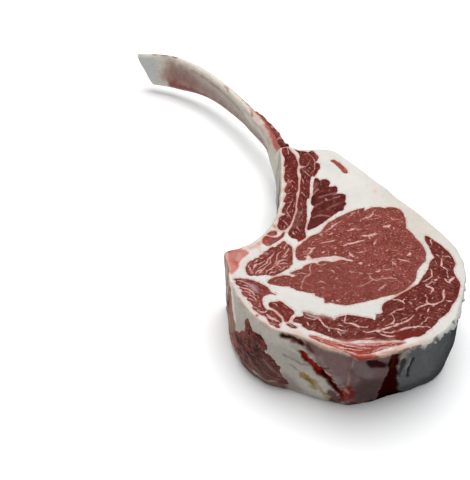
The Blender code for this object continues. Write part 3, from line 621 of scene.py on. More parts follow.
CAP_SEAMS = [
    ([(54.6, 0), (53.8, -2), (53.6, -5.6)], 1), ([(57.6, -8), (58.4, -9)], 0.5),
    ([(54.2, -15), (55.6, -17)], 0.8),
    ([(57.4, -18), (56.6, -20), (55.8, -23), (54.6, -25.6), (55.4, -27), (57.2, -28.4), (58, -30.4)], 1.1),
    ([(57.8, -16.4), (57.6, -17.6)], 0.7), ([(58.4, -17), (60.2, -17.4), (61.4, -16.6), (63, -18.4)], 1.1),
    ([(57.4, -31), (56.8, -34), (56.6, -36)], 0.65),
    ([(60.6, -35.4), (58.6, -37.4), (56.6, -39.6), (56.2, -40.2)], 1.7),
    ([(54.2, -36.6), (54.6, -38.4), (55.6, -39.6)], 1),
    ([(47.2, -28), (47.6, -31), (46.8, -34), (45.4, -36), (42.4, -38), (40, -39.2)], 0.75),
    ([(50, -34.6), (51, -35.6)], 0.6), ([(47.2, -38.4), (49.4, -37.4)], 1.1),
    ([(45.6, -40), (43.4, -41), (41.4, -42), (42, -43.4), (44, -44.6), (44.6, -46), (43.8, -47.4),
      (42.6, -48.6)], 1.25),
    ([(51.4, -45.6), (50.6, -47.6), (50, -50), (49.8, -52), (48.8, -54.4)], 1.3),
    ([(49, -54.6), (46.6, -56), (44.4, -57.4), (42, -58.2), (39.6, -57.8), (38.2, -56.4), (38.4, -54.6),
      (39.4, -53), (38.4, -51.6), (39.4, -50.4)], 0.9),
    ([(50.4, -55), (52, -55.2), (54, -54.8)], 0.8), ([(38.6, -58.2), (36.6, -59), (34, -59.8), (30, -62)], 0.9),
    ([(18, -54.2), (21, -54.4), (23.2, -55.4), (24.2, -57.2)], 1.2), ([(24, -54.6), (25.2, -53.2)], 0.7),
    ([(27.2, -56), (28.4, -57.4), (28, -58.4)], 0.8), ([(31, -54.6), (33, -53.2)], 0.5),
    ([(-37.6, -66.6), (-36.9, -67.5), (-34.6, -68.8), (-31.9, -69.2), (-29.9, -68.8), (-28.5, -70.2),
      (-27.5, -72.2), (-26.2, -74.2), (-24.5, -75.6), (-22.5, -75.7), (-20.5, -76.2), (-18.4, -76.8),
      (-15.7, -77.6), (-13, -77.9)], 1),
    ([(-29.7, -68), (-29.2, -66.8)], 0.6), ([(-24.3, -76.4), (-23.8, -77.9)], 1.3),
    ([(-19.1, -77.9), (-17.8, -79.6), (-17.1, -81.3)], 0.8),
    ([(-12.4, -66.4), (-13, -67.8), (-13.7, -69.5), (-14.1, -71.2), (-12.4, -72.1), (-9.7, -72.2),
      (-7.7, -73.2), (-5.6, -74.6), (-2.9, -74.9), (-0.9, -75.2)], 0.9),
    ([(-16, -69.8), (-15, -70.5)], 0.7), ([(-18.4, -73.9), (-16.4, -73.9), (-15.1, -74.6)], 0.55),
    ([(-9.3, -73.4), (-7.7, -74.4), (-6.3, -75.6)], 0.6),
    ([(-4.3, -77.9), (-1.6, -78.6), (1.1, -78.1), (3.8, -77.6), (6.5, -77.3), (8.5, -76.6), (11.2, -75.6),
      (13.9, -74.6), (16.6, -73.5), (20, -72.1), (22.6, -70.9), (24, -70.2), (27.8, -66.6)], 1.2),
    ([(3.4, -78.2), (6, -78.2)], 1.6),
    ([(7.2, -78.9), (10.5, -79.1), (13.9, -78.8), (17.3, -77.6), (20.6, -76.4), (24, -75.6), (30, -74.6),
      (36, -75.4)], 1.15),
    ([(5.4, -79.8), (6.5, -80.6), (9.2, -81.6), (11.9, -81.6), (15.2, -81.5)], 0.9),
    ([(9.4, -74.6), (11.2, -73.5), (13.9, -72.5), (15.2, -71.2), (15.9, -68.8), (15.2, -66.8), (14.2, -65.5)],
     0.85),
    ([(14.8, -65), (16.2, -64.1), (17.6, -63.1)], 0.7),
    ([(20, -71), (20.6, -69.8), (22.6, -68.8), (24, -68)], 0.6),
    ([(18.4, -62.9), (20, -62.1), (22.6, -60.8)], 0.5), ([(-4.3, -83.2), (1.1, -82.6), (2.5, -82.3)], 0.55),
    ([(33, -71.4), (35, -69), (37, -67.6)], 0.6), ([(31, -73.4), (32, -71.4)], 0.6),
    ([(38.4, -60.6), (37.4, -63), (36.8, -64)], 0.7), ([(23.8, -60), (22.6, -61.4), (21.4, -62)], 0.6),
    ([(61, -25), (60.6, -27.4)], 0.5), ([(52, -21), (52.6, -25)], 0.4), ([(-36, -71), (-35.4, -73.6)], 0.6),
    ([(-9, -79), (-9.2, -81)], 0.5), ([(49.4, -58.2), (48.6, -59.8)], 0.6), ([(43, -52.6), (42, -53.4)], 0.5),
    ([(8, -70.4), (9.6, -69)], 0.6), ([(33, -66), (31.4, -67)], 0.4), ([(45, -61), (43.6, -62.4)], 0.4),
]
CAP_MARKS = [
    (0, [(-37.6, -64.4), (-35.4, -64.9), (-33, -65.8), (-30.4, -66.8), (-29.4, -67.6), (-31.4, -68.4),
         (-33.9, -67.8), (-36.3, -66.4)], (0.33, 0.25, 0.23), 0.7, 0.5, 0.85, 0),
    (0.7, [(-29, -66.6), (-24.6, -67.2), (-20.6, -69), (-17.6, -68)], (0.27, 0.17, 0.15), 0.7, 0.6, 0.7, 0),
    (0.6, [(5.4, -67.4), (7.2, -66.2), (9, -66)], (0.3, 0.2, 0.18), 0.7, 0.5, 0.7, 0),
    (1.0, [(-15.8, -78.9), (-15, -78.9)], (0.26, 0.17, 0.16), 0.9, 0.5, 0.7, 0),
    (0, [(14, -78.6), (20, -78), (25, -77.4), (33, -77.4), (32, -80), (24, -82.4), (14, -83.6)],
     (0.125, 0.01, 0.007), 1.4, 1.0, 0.85, 0),
    (1.2, [(-24, -83.6), (-14, -85), (0, -84.6), (12, -84.6)], (0.38, 0.15, 0.12), 0.9, 1.2, 0.55, 0),
]
cap_lean = lean("cap_lean", (0.125, 0.020, 0.014), (0.082, 0.008, 0.005), seam=(0.60, 0.36, 0.33), flecks=0.32,
                streaks=0.24, streak_size=1.3, turn=0)
cap_strokes = widened(CAP_SEAMS, 1.15) + short_strokes(CAP, 60, 8, 3.0, 0.36, 8, 28)
cap = muscle("cap_muscle_flesh", cap_lean, CAP, cap_strokes, 8, heading=4, bend=0.5, spacing=0.65,
             marks=CAP_MARKS)
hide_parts("cap_muscle")
CAP_TAIL = [
    (-48.4, -72.5), (-48.2, -73.6), (-46.9, -74.7), (-45.2, -75.7), (-43.2, -75.8), (-42.2, -74.9),
    (-43.2, -73.8), (-44.6, -73), (-46, -72.2), (-47.2, -72.1),
]
tail = muscle("cap_tail_flesh", cap_lean, CAP_TAIL, [([(-47, -72.6), (-44.6, -74.6)], 0.6)], 10, crown=0.2,
              heading=-45, spacing=0.7)

# The chine muscle: a small muscle beside the sawn backbone, striped all over with wavy fat that runs up and to
# the right, with its own dark brownish red between the stripes.
CHINE_MUSCLE = [
    (-45.2, -1.6), (-46.4, -1.9), (-47.5, -3), (-48.9, -4.7), (-50.6, -6.1), (-52, -7.8), (-54, -7.6),
    (-55.8, -8.8), (-57, -10.6), (-58.6, -11.4), (-59.8, -12.4), (-60.4, -14.2), (-62.6, -15.6), (-63.4, -17.4),
    (-65.2, -17.8), (-66.4, -18.4), (-67.4, -20), (-68.6, -20.2), (-69.9, -21.4), (-71, -23), (-71.9, -25.2),
    (-72.2, -27.8), (-72.2, -29.8), (-71.5, -31.8), (-70.3, -33.4), (-69, -34), (-67, -33.5), (-65, -34),
    (-63, -33.8), (-61.2, -33.5), (-59.4, -33.3), (-57.2, -33.4), (-55, -34), (-53.2, -33.4), (-51.6, -32.3),
    (-49.6, -31.3), (-47.8, -30.2), (-46.6, -29.1), (-44.9, -28.1), (-43.7, -26.8), (-43.1, -25.4),
    (-41.6, -24.1), (-41.1, -22), (-41, -19.8), (-40.8, -16), (-40.8, -12.8), (-40.7, -9.8), (-41.1, -7),
    (-42.5, -5.2), (-43.7, -4.8), (-44.3, -3.4),
]
CHINE_SEAMS = [
    [(-67.5, -29.5), (-66.3, -26.6), (-64.3, -24.5), (-62.2, -23.3), (-60.7, -21.9), (-59.6, -20.4)],
    [(-64.9, -28.9), (-62.8, -27.1), (-60.7, -25.1), (-58.4, -23), (-57.8, -21.3), (-56.9, -19.5),
     (-55.8, -18.1), (-54.9, -16.3)],
    [(-59.6, -26.9), (-57.8, -25.1), (-55.8, -23.3), (-55.8, -21.3), (-55.5, -18.6), (-53.7, -15.1),
     (-52.8, -13.4)],
    [(-57.2, -28.9), (-54.9, -27.1), (-53.7, -24.5), (-51.9, -20.4), (-51.1, -16.3), (-49.6, -13.9),
     (-47.8, -11.6)],
    [(-53.4, -26.6), (-51.7, -23.9), (-49.9, -21.3), (-48.7, -20.4), (-46.7, -20.1)],
    [(-48.4, -17.5), (-46.7, -15.7), (-44.9, -13.4), (-43.4, -11.3), (-42.9, -8.7)],
    [(-47.3, -18.3), (-45.8, -17.2), (-44.3, -15.7)], [(-46.1, -10.4), (-45.2, -7.2), (-44, -4.9)],
    [(-49, -9), (-48.4, -7.8)], [(-68.7, -30.4), (-69.3, -28.3), (-70.1, -25.7), (-69.3, -24.2)],
    [(-67.2, -27.7), (-66.3, -25.4), (-64.3, -23.3)], [(-66.3, -22.2), (-64.9, -21), (-64.3, -19.2)],
    [(-64.3, -30.7), (-62.8, -29.2), (-60.5, -27.7), (-59.6, -26.3)],
    [(-63.7, -32.4), (-62.2, -30.4), (-60.2, -29.2)], [(-66, -32.7), (-65.4, -31), (-63.7, -29.2)],
    [(-59, -31.8), (-58.1, -30.1), (-56.1, -29.2), (-54.3, -28.9)],
    [(-56.9, -33), (-55.5, -31.3), (-53.7, -31), (-51.9, -29.8)],
    [(-51.1, -28), (-49.6, -28.9), (-47.8, -28), (-46.7, -26.3), (-44.6, -25.7)],
    [(-50.5, -23.9), (-48.4, -23.6), (-46.7, -23.3), (-44.9, -24.2)],
    [(-48.7, -21.3), (-46.7, -20.4), (-44.6, -20.7)], [(-52.5, -25.1), (-50.5, -26), (-49, -27.1)],
    [(-63, -17.6), (-61.4, -18.6), (-60.4, -18)],
]
CHINE_MARKS = [
    (0.9, [(-69.4, -29), (-68, -31.6)], (0.46, 0.24, 0.2), 0.9, 0.6, 0.7, 0),
    (0.8, [(-59.6, -12.8), (-58, -14.6)], (0.36, 0.19, 0.18), 0.9, 0.6, 0.8, 0),
]
chine_lean = lean("chine_lean", (0.180, 0.036, 0.028), (0.115, 0.015, 0.011), seam=(0.57, 0.33, 0.29),
                  flecks=0.4, streaks=0.35, streak_size=0.9)
chine = muscle("chine_muscle_flesh", chine_lean, CHINE_MUSCLE, [(points, 0.95) for points in CHINE_SEAMS], 12,
               crown=0.4, heading=50, bend=-0.6, spacing=0.55, marks=CHINE_MARKS)
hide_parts("chine_muscle")

# The flap and its knob: two small muscles at the left rim, torn and streaked, with a lilac patch of silver skin
# on the flap and a fat seam through the knob.
FLAP = [
    (-79.8, -36.6), (-79.5, -37.9), (-78.4, -38.4), (-78.7, -39.6), (-78.6, -40.6), (-77.5, -42),
    (-76.1, -42.9), (-76.4, -44.3), (-75.4, -45.6), (-74.6, -46.3), (-75.2, -47.7), (-74.6, -49.5),
    (-73.2, -51.1), (-71.6, -51.9), (-71.7, -53.5), (-70.7, -54.9), (-69.4, -56), (-68.8, -57.8),
    (-68.2, -58.8), (-68.8, -59.9), (-68.2, -61.2), (-66.8, -62.8), (-65.1, -64.3), (-63.5, -65.7),
    (-62.1, -66.6), (-61, -67.2), (-60.2, -68.4), (-59.6, -70.1), (-58.7, -71.6), (-58.3, -72.8),
    (-57.2, -73.5), (-55.8, -74.4), (-54.5, -75.4), (-53.2, -75.6), (-52.2, -75), (-52.5, -74), (-53.2, -73),
    (-52.3, -72), (-51.3, -71.3), (-51, -69.9), (-51.5, -68.2), (-52.9, -66.3), (-54.4, -64.7), (-55.5, -63),
    (-56.8, -62), (-58.3, -61.7), (-59.6, -61.3), (-60.6, -60.2), (-61.2, -58.8), (-61.8, -57.2),
    (-61.9, -55.2), (-61.8, -53.2), (-61.3, -51.5), (-60, -50.6), (-58.7, -49.9), (-57.3, -49.5),
    (-55.8, -49.5), (-54.3, -50), (-53.4, -49.6), (-54.5, -48.9), (-56.1, -47.9), (-57, -46.6), (-57.6, -44.9),
    (-58.5, -43.3), (-60.4, -41.9), (-62.5, -40.6), (-64.4, -39.3), (-66.8, -38.1), (-69.1, -37.3),
    (-71.7, -36.5), (-74.4, -36.2), (-77, -36),
]
FLAP_SEAMS = [
    ([(-78.6, -38), (-76.4, -38.3), (-73.1, -39.6), (-70.4, -41.3), (-68.4, -42.9), (-66.8, -45.3)], 1.1),
    ([(-75.1, -37.6), (-71.7, -38.2)], 0.6),
    ([(-75.4, -43.8), (-73.4, -44.6), (-70.7, -45.6), (-68.8, -47.6), (-67.1, -49.6), (-65.8, -51.2)], 1.2),
    ([(-73.7, -41.9), (-70.4, -43.6)], 0.7), ([(-74, -46.9), (-71.7, -47.6), (-69.4, -49.2)], 0.8),
    ([(-70.1, -50.2), (-67.8, -51.9), (-66.1, -53.9), (-65.8, -55.5)], 1),
    ([(-70.7, -53.2), (-68.4, -54.2), (-67.1, -55.4)], 0.75), ([(-65.1, -50.2), (-64.4, -52.6)], 0.7),
    ([(-67.7, -59.6), (-65.8, -60.5), (-63.8, -61.8)], 0.7),
    ([(-65.4, -62.4), (-63.1, -63.5), (-60.8, -63.8), (-59.5, -62.7)], 1.1),
    ([(-59.8, -65.6), (-58.8, -67.1), (-56.5, -69.1), (-54, -70.9)], 1.7), ([(-64, -57), (-63.4, -59)], 0.5),
    ([(-57, -72), (-55.6, -73.4)], 0.6),
]
FLAP_MARKS = [
    (0, [(-71.4, -41.2), (-68, -40.9), (-65.4, -43), (-64.4, -46.4), (-64.8, -48.4), (-67.4, -48),
         (-69.6, -45.6)], (0.36, 0.2, 0.205), 1.5, 0.8, 0.8, 0),
    (0.55, [(-70.7, -39.2), (-67.8, -40.1), (-65.1, -41.9), (-63.8, -44.3), (-63.2, -46.3), (-63.7, -48.4)],
     (0.085, 0.018, 0.024), 0.5, 0.3, 0.85, 0),
    (0.4, [(-69.1, -40.8), (-66, -43), (-65.1, -46), (-64.5, -48)], (0.12, 0.04, 0.05), 0.5, 0.3, 0.7, 0),
    (0, [(-62.6, -42), (-59.4, -43.4), (-57.9, -46), (-58.2, -48.6), (-61, -50), (-62.6, -46)],
     (0.15, 0.017, 0.011), 0.9, 0.4, 0.85, 0),
]
flap_lean = lean("flap_lean", (0.180, 0.028, 0.020), (0.110, 0.011, 0.008), seam=(0.56, 0.32, 0.29),
                 flecks=0.45, streaks=0.7, streak_size=1.1, turn=-50, coat=0.1)
flap = muscle("flap_muscle_flesh", flap_lean, FLAP, FLAP_SEAMS, 15, crown=0.3, heading=-30, bend=0.4,
              spacing=0.7, marks=FLAP_MARKS)
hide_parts("flap_muscle")
FLAP_KNOB = [
    (-58.4, -56.3), (-58.6, -57.9), (-58, -59.3), (-56.6, -60.3), (-55.2, -61.5), (-53.7, -63.2),
    (-52.1, -64.9), (-50.8, -66.8), (-50, -68.9), (-49.7, -70.5), (-48.8, -70.9), (-47.5, -70.8),
    (-46.6, -69.8), (-46.1, -68.4), (-45.3, -66.9), (-44.2, -65.8), (-43.3, -64.4), (-43.4, -62.6),
    (-44.2, -61.3), (-45.6, -60.2), (-47.2, -58.5), (-48.9, -56.9), (-50.2, -55.3), (-51.8, -54.6),
    (-53.2, -55), (-55.2, -55.3), (-57.1, -55.6),
]
KNOB_SEAMS = [
    ([(-56, -56.6), (-53.8, -58.2), (-53.5, -59.5)], 0.75), ([(-49.6, -58.4), (-47.4, -61.4)], 0.4),
    ([(-50, -63), (-48.6, -65)], 0.35),
]
knob_lean = lean("knob_lean", (0.150, 0.022, 0.015), (0.108, 0.011, 0.008), flecks=0.25, streaks=0.2, turn=-50)
knob = muscle("flap_knob_flesh", knob_lean, FLAP_KNOB, KNOB_SEAMS, 17, heading=-50, spacing=0.7)
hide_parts("flap_knob")

# The side muscle and the flank: two deep red muscles between the eye and the rib, streaked where their
# bundles fan out, with thin pale arcs across them and fingers that reach into the fat.
SIDE = [
    (-28.8, 8.6), (-26.5, 9.4), (-23.6, 11.2), (-20.6, 13.6), (-17.6, 16), (-14.7, 18.9), (-11.7, 21.9),
    (-8.8, 24.5), (-6.4, 26.6), (-4, 28.6), (-2.6, 29), (-1.2, 30.2), (-0.5, 31.8), (-0.1, 33.4), (0.8, 35),
    (1.8, 36.6), (2.1, 38), (1.4, 39.2), (2, 40.8), (2.5, 42.8), (2.8, 44.8), (2.6, 46.6), (1.6, 48),
    (-0.4, 48.7), (-2.4, 48.8), (-3.8, 49.2), (-3.1, 50.6), (-2.5, 52.2), (-2.6, 54), (-2.2, 56), (-3.2, 57.3),
    (-5.4, 57.1), (-7.4, 56.9), (-8.4, 57.2), (-8, 58.6), (-7.2, 60.4), (-7, 62.6), (-7.8, 64.8), (-9.4, 66),
    (-11.6, 66), (-13.2, 65), (-14.3, 64.2), (-14.9, 65.4), (-16, 66.9), (-17.5, 67.6), (-18.6, 65.9),
    (-19.2, 63), (-19.8, 60), (-20.3, 56.6), (-20.6, 53), (-20.9, 50.8), (-21.3, 47.8), (-21.9, 46),
    (-22.7, 43.6), (-23.3, 40.7), (-23.8, 37.8), (-23.5, 35.7), (-22.5, 34.7), (-22.1, 33.5), (-23, 31.2),
    (-24.1, 28.9), (-24.9, 26.5), (-25.4, 23), (-26.1, 20), (-27.1, 17.6), (-28.2, 14.7), (-28.8, 11.7),
    (-29.1, 9.8),
]
SIDE_SEAMS = [
    ([(-10, 57), (-9, 56.2), (-7.6, 57.6)], 0.6), ([(-17, 58), (-15.6, 61)], 0.45),
    ([(-13, 27), (-11.6, 28)], 0.35), ([(-19, 31), (-17.4, 32)], 0.35), ([(-8, 30.6), (-6.4, 31.6)], 0.35),
    ([(-10, 51), (-8.4, 53)], 0.45), ([(-15, 50), (-14, 52)], 0.4),
]
SIDE_MARKS = [
    (0.45, [(-24.1, 21.4), (-21.2, 23), (-17.6, 23.8), (-14.1, 23.5), (-11.4, 22.6)], (0.34, 0.14, 0.12), 0.7,
     0.5, 0.8, 0),
    (0, [(-27, 15.6), (-24.4, 20.6), (-20, 22.4), (-13, 21.4), (-19, 14.6), (-27, 9.6)], (0.085, 0.012, 0.01),
     1.2, 0.6, 0.6, 0),
    (0.5, [(-12.9, 30.1), (-10.5, 32.4), (-7, 34.8), (-4, 36.6), (1, 38.8)], (0.22, 0.075, 0.066), 0.8, 0.8,
     0.8, 0),
    (0.6, [(-21.2, 33.8), (-18.2, 36), (-15.3, 38.3)], (0.23, 0.08, 0.07), 0.8, 0.8, 0.75, 0),
    (0.35, [(-13, 40.8), (-9.9, 40.7), (-7, 42.5), (-4.3, 43.7), (-2, 45)], (0.42, 0.21, 0.19), 0.7, 0.9, 0.8,
     0),
    (0.5, [(-12.6, 42), (-12, 40.4)], (0.48, 0.27, 0.24), 0.7, 0.5, 0.85, 0),
    (0.4, [(-7, 40.6), (-6.4, 38.6)], (0.4, 0.2, 0.18), 0.6, 0.5, 0.8, 0),
    (1.0, [(-16.6, 43.6), (-11.7, 46), (-8.8, 47.2), (-4, 48.4)], (0.24, 0.115, 0.108), 1.0, 0.8, 0.8, 0),
    (0.8, [(-20, 26), (-17, 28)], (0.14, 0.042, 0.036), 1.2, 0.8, 0.7, 0),
    (0.45, [(-14.4, 58), (-13.9, 61), (-13.8, 65)], (0.19, 0.1, 0.095), 0.7, 0.5, 0.85, 0),
    (0.6, [(-21, 47.4), (-19.8, 50), (-17, 53)], (0.44, 0.2, 0.18), 0.8, 0.6, 0.8, 0),
    (1.6, [(-19.6, 55), (-18, 60)], (0.21, 0.1, 0.095), 1.6, 0.8, 0.6, 0),
    (1.3, [(-21.2, 45), (-22, 40.6), (-22.6, 37)], (0.05, 0.006, 0.004), 1.6, 0.8, 0.85, 0),
]
dark_lean = lean("dark_lean", (0.100, 0.014, 0.010), (0.058, 0.005, 0.004), seam=(0.32, 0.13, 0.12),
                 flecks=0.18, turn=35)
side_flesh = muscle("side_muscle_flesh", dark_lean, SIDE, SIDE_SEAMS, 21, heading=36, bend=-0.3,
                    marks=SIDE_MARKS)
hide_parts("side_muscle")
FLANK = [
    (-31, 104.8), (-30, 102.6), (-28.6, 100.6), (-27.9, 98.4), (-27.6, 96.2), (-27.9, 92.4), (-28.2, 88.6),
    (-28.3, 85.2), (-27.8, 82.8), (-27.5, 80.6), (-28.5, 78.6), (-28.9, 76.6), (-28.7, 74.1), (-28.4, 70.3),
    (-28.8, 66.5), (-29.4, 62.7), (-30, 58.9), (-30.2, 56.5), (-30.4, 54.3), (-30.8, 50.8), (-31.4, 48.1),
    (-32.2, 44.9), (-33, 41.3), (-33.5, 38.3), (-33.9, 35.4), (-34.3, 31), (-35, 27.1), (-36.2, 23.4),
    (-37.3, 19.4), (-38.5, 15.9), (-39.9, 11.9), (-41.3, 9.3), (-42.3, 7), (-42.6, 4.8), (-41.6, 2.4),
    (-40.4, 0.9), (-38.4, 0.4), (-37, -0.4), (-36.4, -1.7), (-36, -2.7), (-34.9, -2.2), (-33.6, -1.1),
    (-32.2, 0), (-30.9, 1.3), (-30.3, 2.8), (-30.4, 4.3), (-30.3, 5.8), (-30.6, 7.8), (-30.8, 9.4),
    (-30.3, 11.1), (-29.4, 14.7), (-28.6, 18.2), (-27.9, 21.8), (-27.5, 26.5), (-27.2, 31.2), (-26.9, 36.6),
    (-26.5, 40.1), (-25.7, 42.5), (-24.8, 42.9), (-24.3, 43.6), (-24, 45), (-23.7, 47), (-23.4, 50.2),
    (-23.1, 54.9), (-22.4, 58.5), (-21.9, 62), (-21.4, 65.2), (-20.8, 67.4), (-19.9, 69), (-18.6, 68.6),
    (-17.5, 69.7), (-16.7, 71.2), (-15.8, 72.8), (-14.6, 76.3), (-13.2, 78.5), (-12.5, 81.6), (-12.4, 84.2),
    (-13.2, 86.1), (-14.9, 87), (-15.5, 88), (-14.3, 89), (-13.3, 90.8), (-12.4, 93.4), (-13, 96.5),
    (-14.4, 99.1), (-15.3, 101.2), (-16.8, 102.6), (-19, 101.8), (-20.4, 100.4), (-21.5, 101.7), (-24, 102.6),
    (-26.6, 102.9), (-29, 103.8),
]
FLANK_SEAMS = [
    ([(-26.6, 81.4), (-24, 81), (-22.2, 82.9), (-21.2, 85.4), (-20.6, 88)], 0.85),
    ([(-19.8, 98.8), (-18.4, 95.6), (-16.8, 92.4), (-16, 89.9), (-15.9, 86.7), (-16.4, 84.2), (-16.8, 80.4),
      (-17.7, 76.6), (-19.6, 73.4), (-20.9, 71.5)], 0.85),
    ([(-27.3, 79.1), (-25.9, 75.9), (-24, 72.8), (-22.5, 70.3), (-21.2, 68.6)], 0.9),
    ([(-29.4, 49), (-28, 46.6), (-26.6, 44.2)], 0.8), ([(-30.1, 49.8), (-29.2, 49.3)], 1.6),
    ([(-33.6, 25.3), (-30.7, 28.9), (-29.8, 30.1)], 0.8), ([(-29.8, 30.6), (-30.9, 32.4)], 0.6),
    ([(-31.2, 38.3), (-30.9, 36), (-30.7, 34.2)], 0.7), ([(-30, 42), (-30.2, 39.8)], 0.5),
    ([(-36, 12.9), (-34.8, 9.3), (-34.2, 7)], 0.75), ([(-38.6, 15.9), (-38, 12.9)], 0.75),
    ([(-39.2, 7), (-38.9, 4.6), (-37.8, 3.4)], 1.1), ([(-37.2, 7), (-36.4, 5.4)], 0.6),
    ([(-20.8, 79.6), (-20.5, 78.6)], 1.3), ([(-25, 91.5), (-24.8, 90.7)], 0.7),
    ([(-24, 96.8), (-22.2, 97.9), (-21, 97.7)], 0.5), ([(-28.3, 67), (-27.4, 63), (-27, 59.5)], 0.7),
    ([(-27.6, 57), (-26.6, 53)], 0.5), ([(-26, 66), (-25, 70)], 0.4), ([(-34, 21), (-33, 23.4)], 0.6),
    ([(-32, 17), (-31.6, 19.6)], 0.5), ([(-35.6, 17), (-34.8, 19)], 0.5), ([(-33.4, 13), (-32.8, 15)], 0.45),
    ([(-31.6, 24.4), (-31, 26.4)], 0.45), ([(-36.4, 10), (-35.8, 12)], 0.4), ([(-32.4, 3), (-31.8, 5)], 0.5),
    ([(-34.6, 27), (-33.6, 28.6)], 0.4), ([(-24.6, 62), (-24, 65)], 0.35), ([(-22.8, 74), (-22, 76)], 0.4),
    ([(-26, 86), (-25, 88.4)], 0.35),
]
FLANK_MARKS = [
    (1.3, [(-32, 0.8), (-33.6, 0), (-35.2, -1.2)], (0.2, 0.006, 0.004), 1.0, 0.8, 0.9, 0),
    (0, [(-28.3, 82.8), (-27, 82.6), (-24.4, 81), (-26.4, 79.4), (-27.6, 80)], (0.46, 0.3, 0.27), 0.7, 0.5,
     0.85, 0),
    (1.2, [(-14.6, 97), (-13.8, 94), (-14.4, 91)], (0.24, 0.045, 0.034), 1.2, 0.8, 0.75, 0),
    (1.0, [(-21.8, 47), (-24.6, 46), (-25.2, 44)], (0.085, 0.01, 0.008), 1.2, 0.8, 0.6, 0),
    (2.0, [(-32.6, 28), (-34.6, 20), (-36.6, 12)], (0.19, 0.075, 0.062), 2.4, 2.0, 0.5, 0),
]
flank_finish = lean("flank_lean", (0.120, 0.018, 0.013), (0.072, 0.007, 0.005), seam=(0.48, 0.25, 0.22),
                    flecks=0.32, streak_size=1.3, turn=65)
flank = muscle("flank_flesh", flank_finish, FLANK, FLANK_SEAMS, 23, heading=68, marks=FLANK_MARKS)
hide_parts("flank_lean")

# The rib lean: the wet red strip along the bone. Its bundles slant across the strip, and pale skin shows at its
# scalloped outer edge. One half lies above the bone and the other under it, and two lumps end it at the chine.
RIB_TUNNEL = (11.2, 44.8)  # heights between which the bone lies
RIB_LEAN = [
    (-38.6, 107.4), (-40.3, 106.6), (-41.2, 104.2), (-41.2, 100.6), (-40.7, 97.4), (-39.8, 94), (-39.7, 90.6),
    (-40.2, 86), (-40.8, 82.6), (-40.1, 81), (-40.2, 78.6), (-40.4, 76.6), (-41, 72.8), (-41.6, 69.5),
    (-41.6, 66.5), (-40.9, 62.8), (-40, 61.4), (-39.8, 60), (-40.5, 58.2), (-41.4, 55.8), (-42.2, 52.6),
    (-41.8, 49.8), (-40.9, 48), (-41.6, 46), (-42.8, 42.6), (-43.8, 39.8), (-43.2, 38.5), (-41.9, 37.5),
    (-42.5, 36.4), (-43.8, 34), (-45, 30.6), (-45.7, 27.7), (-45, 26.3), (-43.4, 25.7), (-43.8, 24.8),
    (-46.3, 23.6), (-47.8, 21.8), (-48.5, 19.6), (-48.2, 18.1), (-49, 15.9), (-49.4, 12.5), (-48.6, 9.7),
    (-47.2, 8.5), (-45.7, 8.7), (-44.4, 9.1), (-43, 10.6), (-41.6, 12.4), (-40.1, 15.4), (-38.6, 19.4),
    (-37.3, 23.5), (-36.2, 26.7), (-35.4, 30.9), (-35, 34.9), (-34.6, 37.9), (-34.1, 40.9), (-33.6, 44.5),
    (-33.4, 47.8), (-32.5, 50.8), (-31.5, 54.4), (-31.2, 58.5), (-30.9, 61.4), (-30.5, 65.2), (-30.7, 69),
    (-31, 72.8), (-30.8, 76.6), (-29.9, 80.4), (-29.5, 84.2), (-29.5, 87.3), (-30.2, 91.1), (-30.5, 94.9),
    (-31.6, 98.1), (-32.9, 100.6), (-34.2, 103.8), (-35.4, 106.2), (-36.6, 107.5),
]
RIB_SEAMS = [
    ([(-36.7, 106.6), (-36.5, 103.8), (-36.2, 99.4), (-35.8, 96.8)], 1.5),
    ([(-39.7, 81.1), (-37.7, 82.9)], 0.8), ([(-38.6, 65.8), (-38, 63.9), (-39.6, 61.8)], 0.85),
    ([(-39.3, 60.7), (-37, 62), (-35.1, 64.6)], 0.95), ([(-36.6, 58.5), (-36, 56.1), (-36.6, 53.7)], 0.65),
    ([(-39.2, 50.8), (-38.3, 53.1)], 0.85), ([(-40.3, 47.8), (-38.8, 48.5), (-37.2, 49.5)], 0.9),
    ([(-41.2, 37.6), (-40, 38), (-38.4, 38.6)], 0.7),
    ([(-36.9, 40.4), (-38.6, 37.2), (-40.1, 33.6), (-41.3, 30.1), (-41.6, 27.1), (-40.1, 23), (-39.5, 20.6)],
     0.85),
    ([(-35, 38.4), (-35.8, 36), (-37.2, 33)], 0.8), ([(-44.2, 25.6), (-42.6, 26.2)], 0.9),
    ([(-44.9, 18.2), (-43.7, 15.9), (-42.5, 12.9), (-42, 11.4)], 0.85),
    ([(-44.3, 13.5), (-44.9, 10.9), (-45.6, 9.6)], 0.7), ([(-45.4, 17.9), (-44.2, 17.3)], 1.1),
    ([(-42.2, 24.1), (-41.4, 22.4)], 1), ([(-47.4, 14), (-46.8, 11.4)], 0.6), ([(-40, 44), (-38.8, 42.6)], 0.5),
    ([(-34.4, 55), (-33.6, 52.6)], 0.45), ([(-38.4, 46), (-36.6, 44.6)], 0.45),
    ([(-38.6, 71), (-37.6, 67.8)], 0.4), ([(-35, 63), (-33.6, 60)], 0.4), ([(-37, 78), (-34, 79)], 0.35),
    ([(-39.2, 75), (-36.8, 73.6)], 0.35), ([(-33.4, 84), (-32, 86.4)], 0.35), ([(-38, 93), (-36.4, 91)], 0.35),
    ([(-43, 31), (-42.4, 29)], 0.5), ([(-38.4, 27), (-37.6, 29.6)], 0.5), ([(-37, 47), (-35.6, 45.4)], 0.4),
    ([(-47.6, 20.6), (-46.4, 19.4)], 0.5),
]
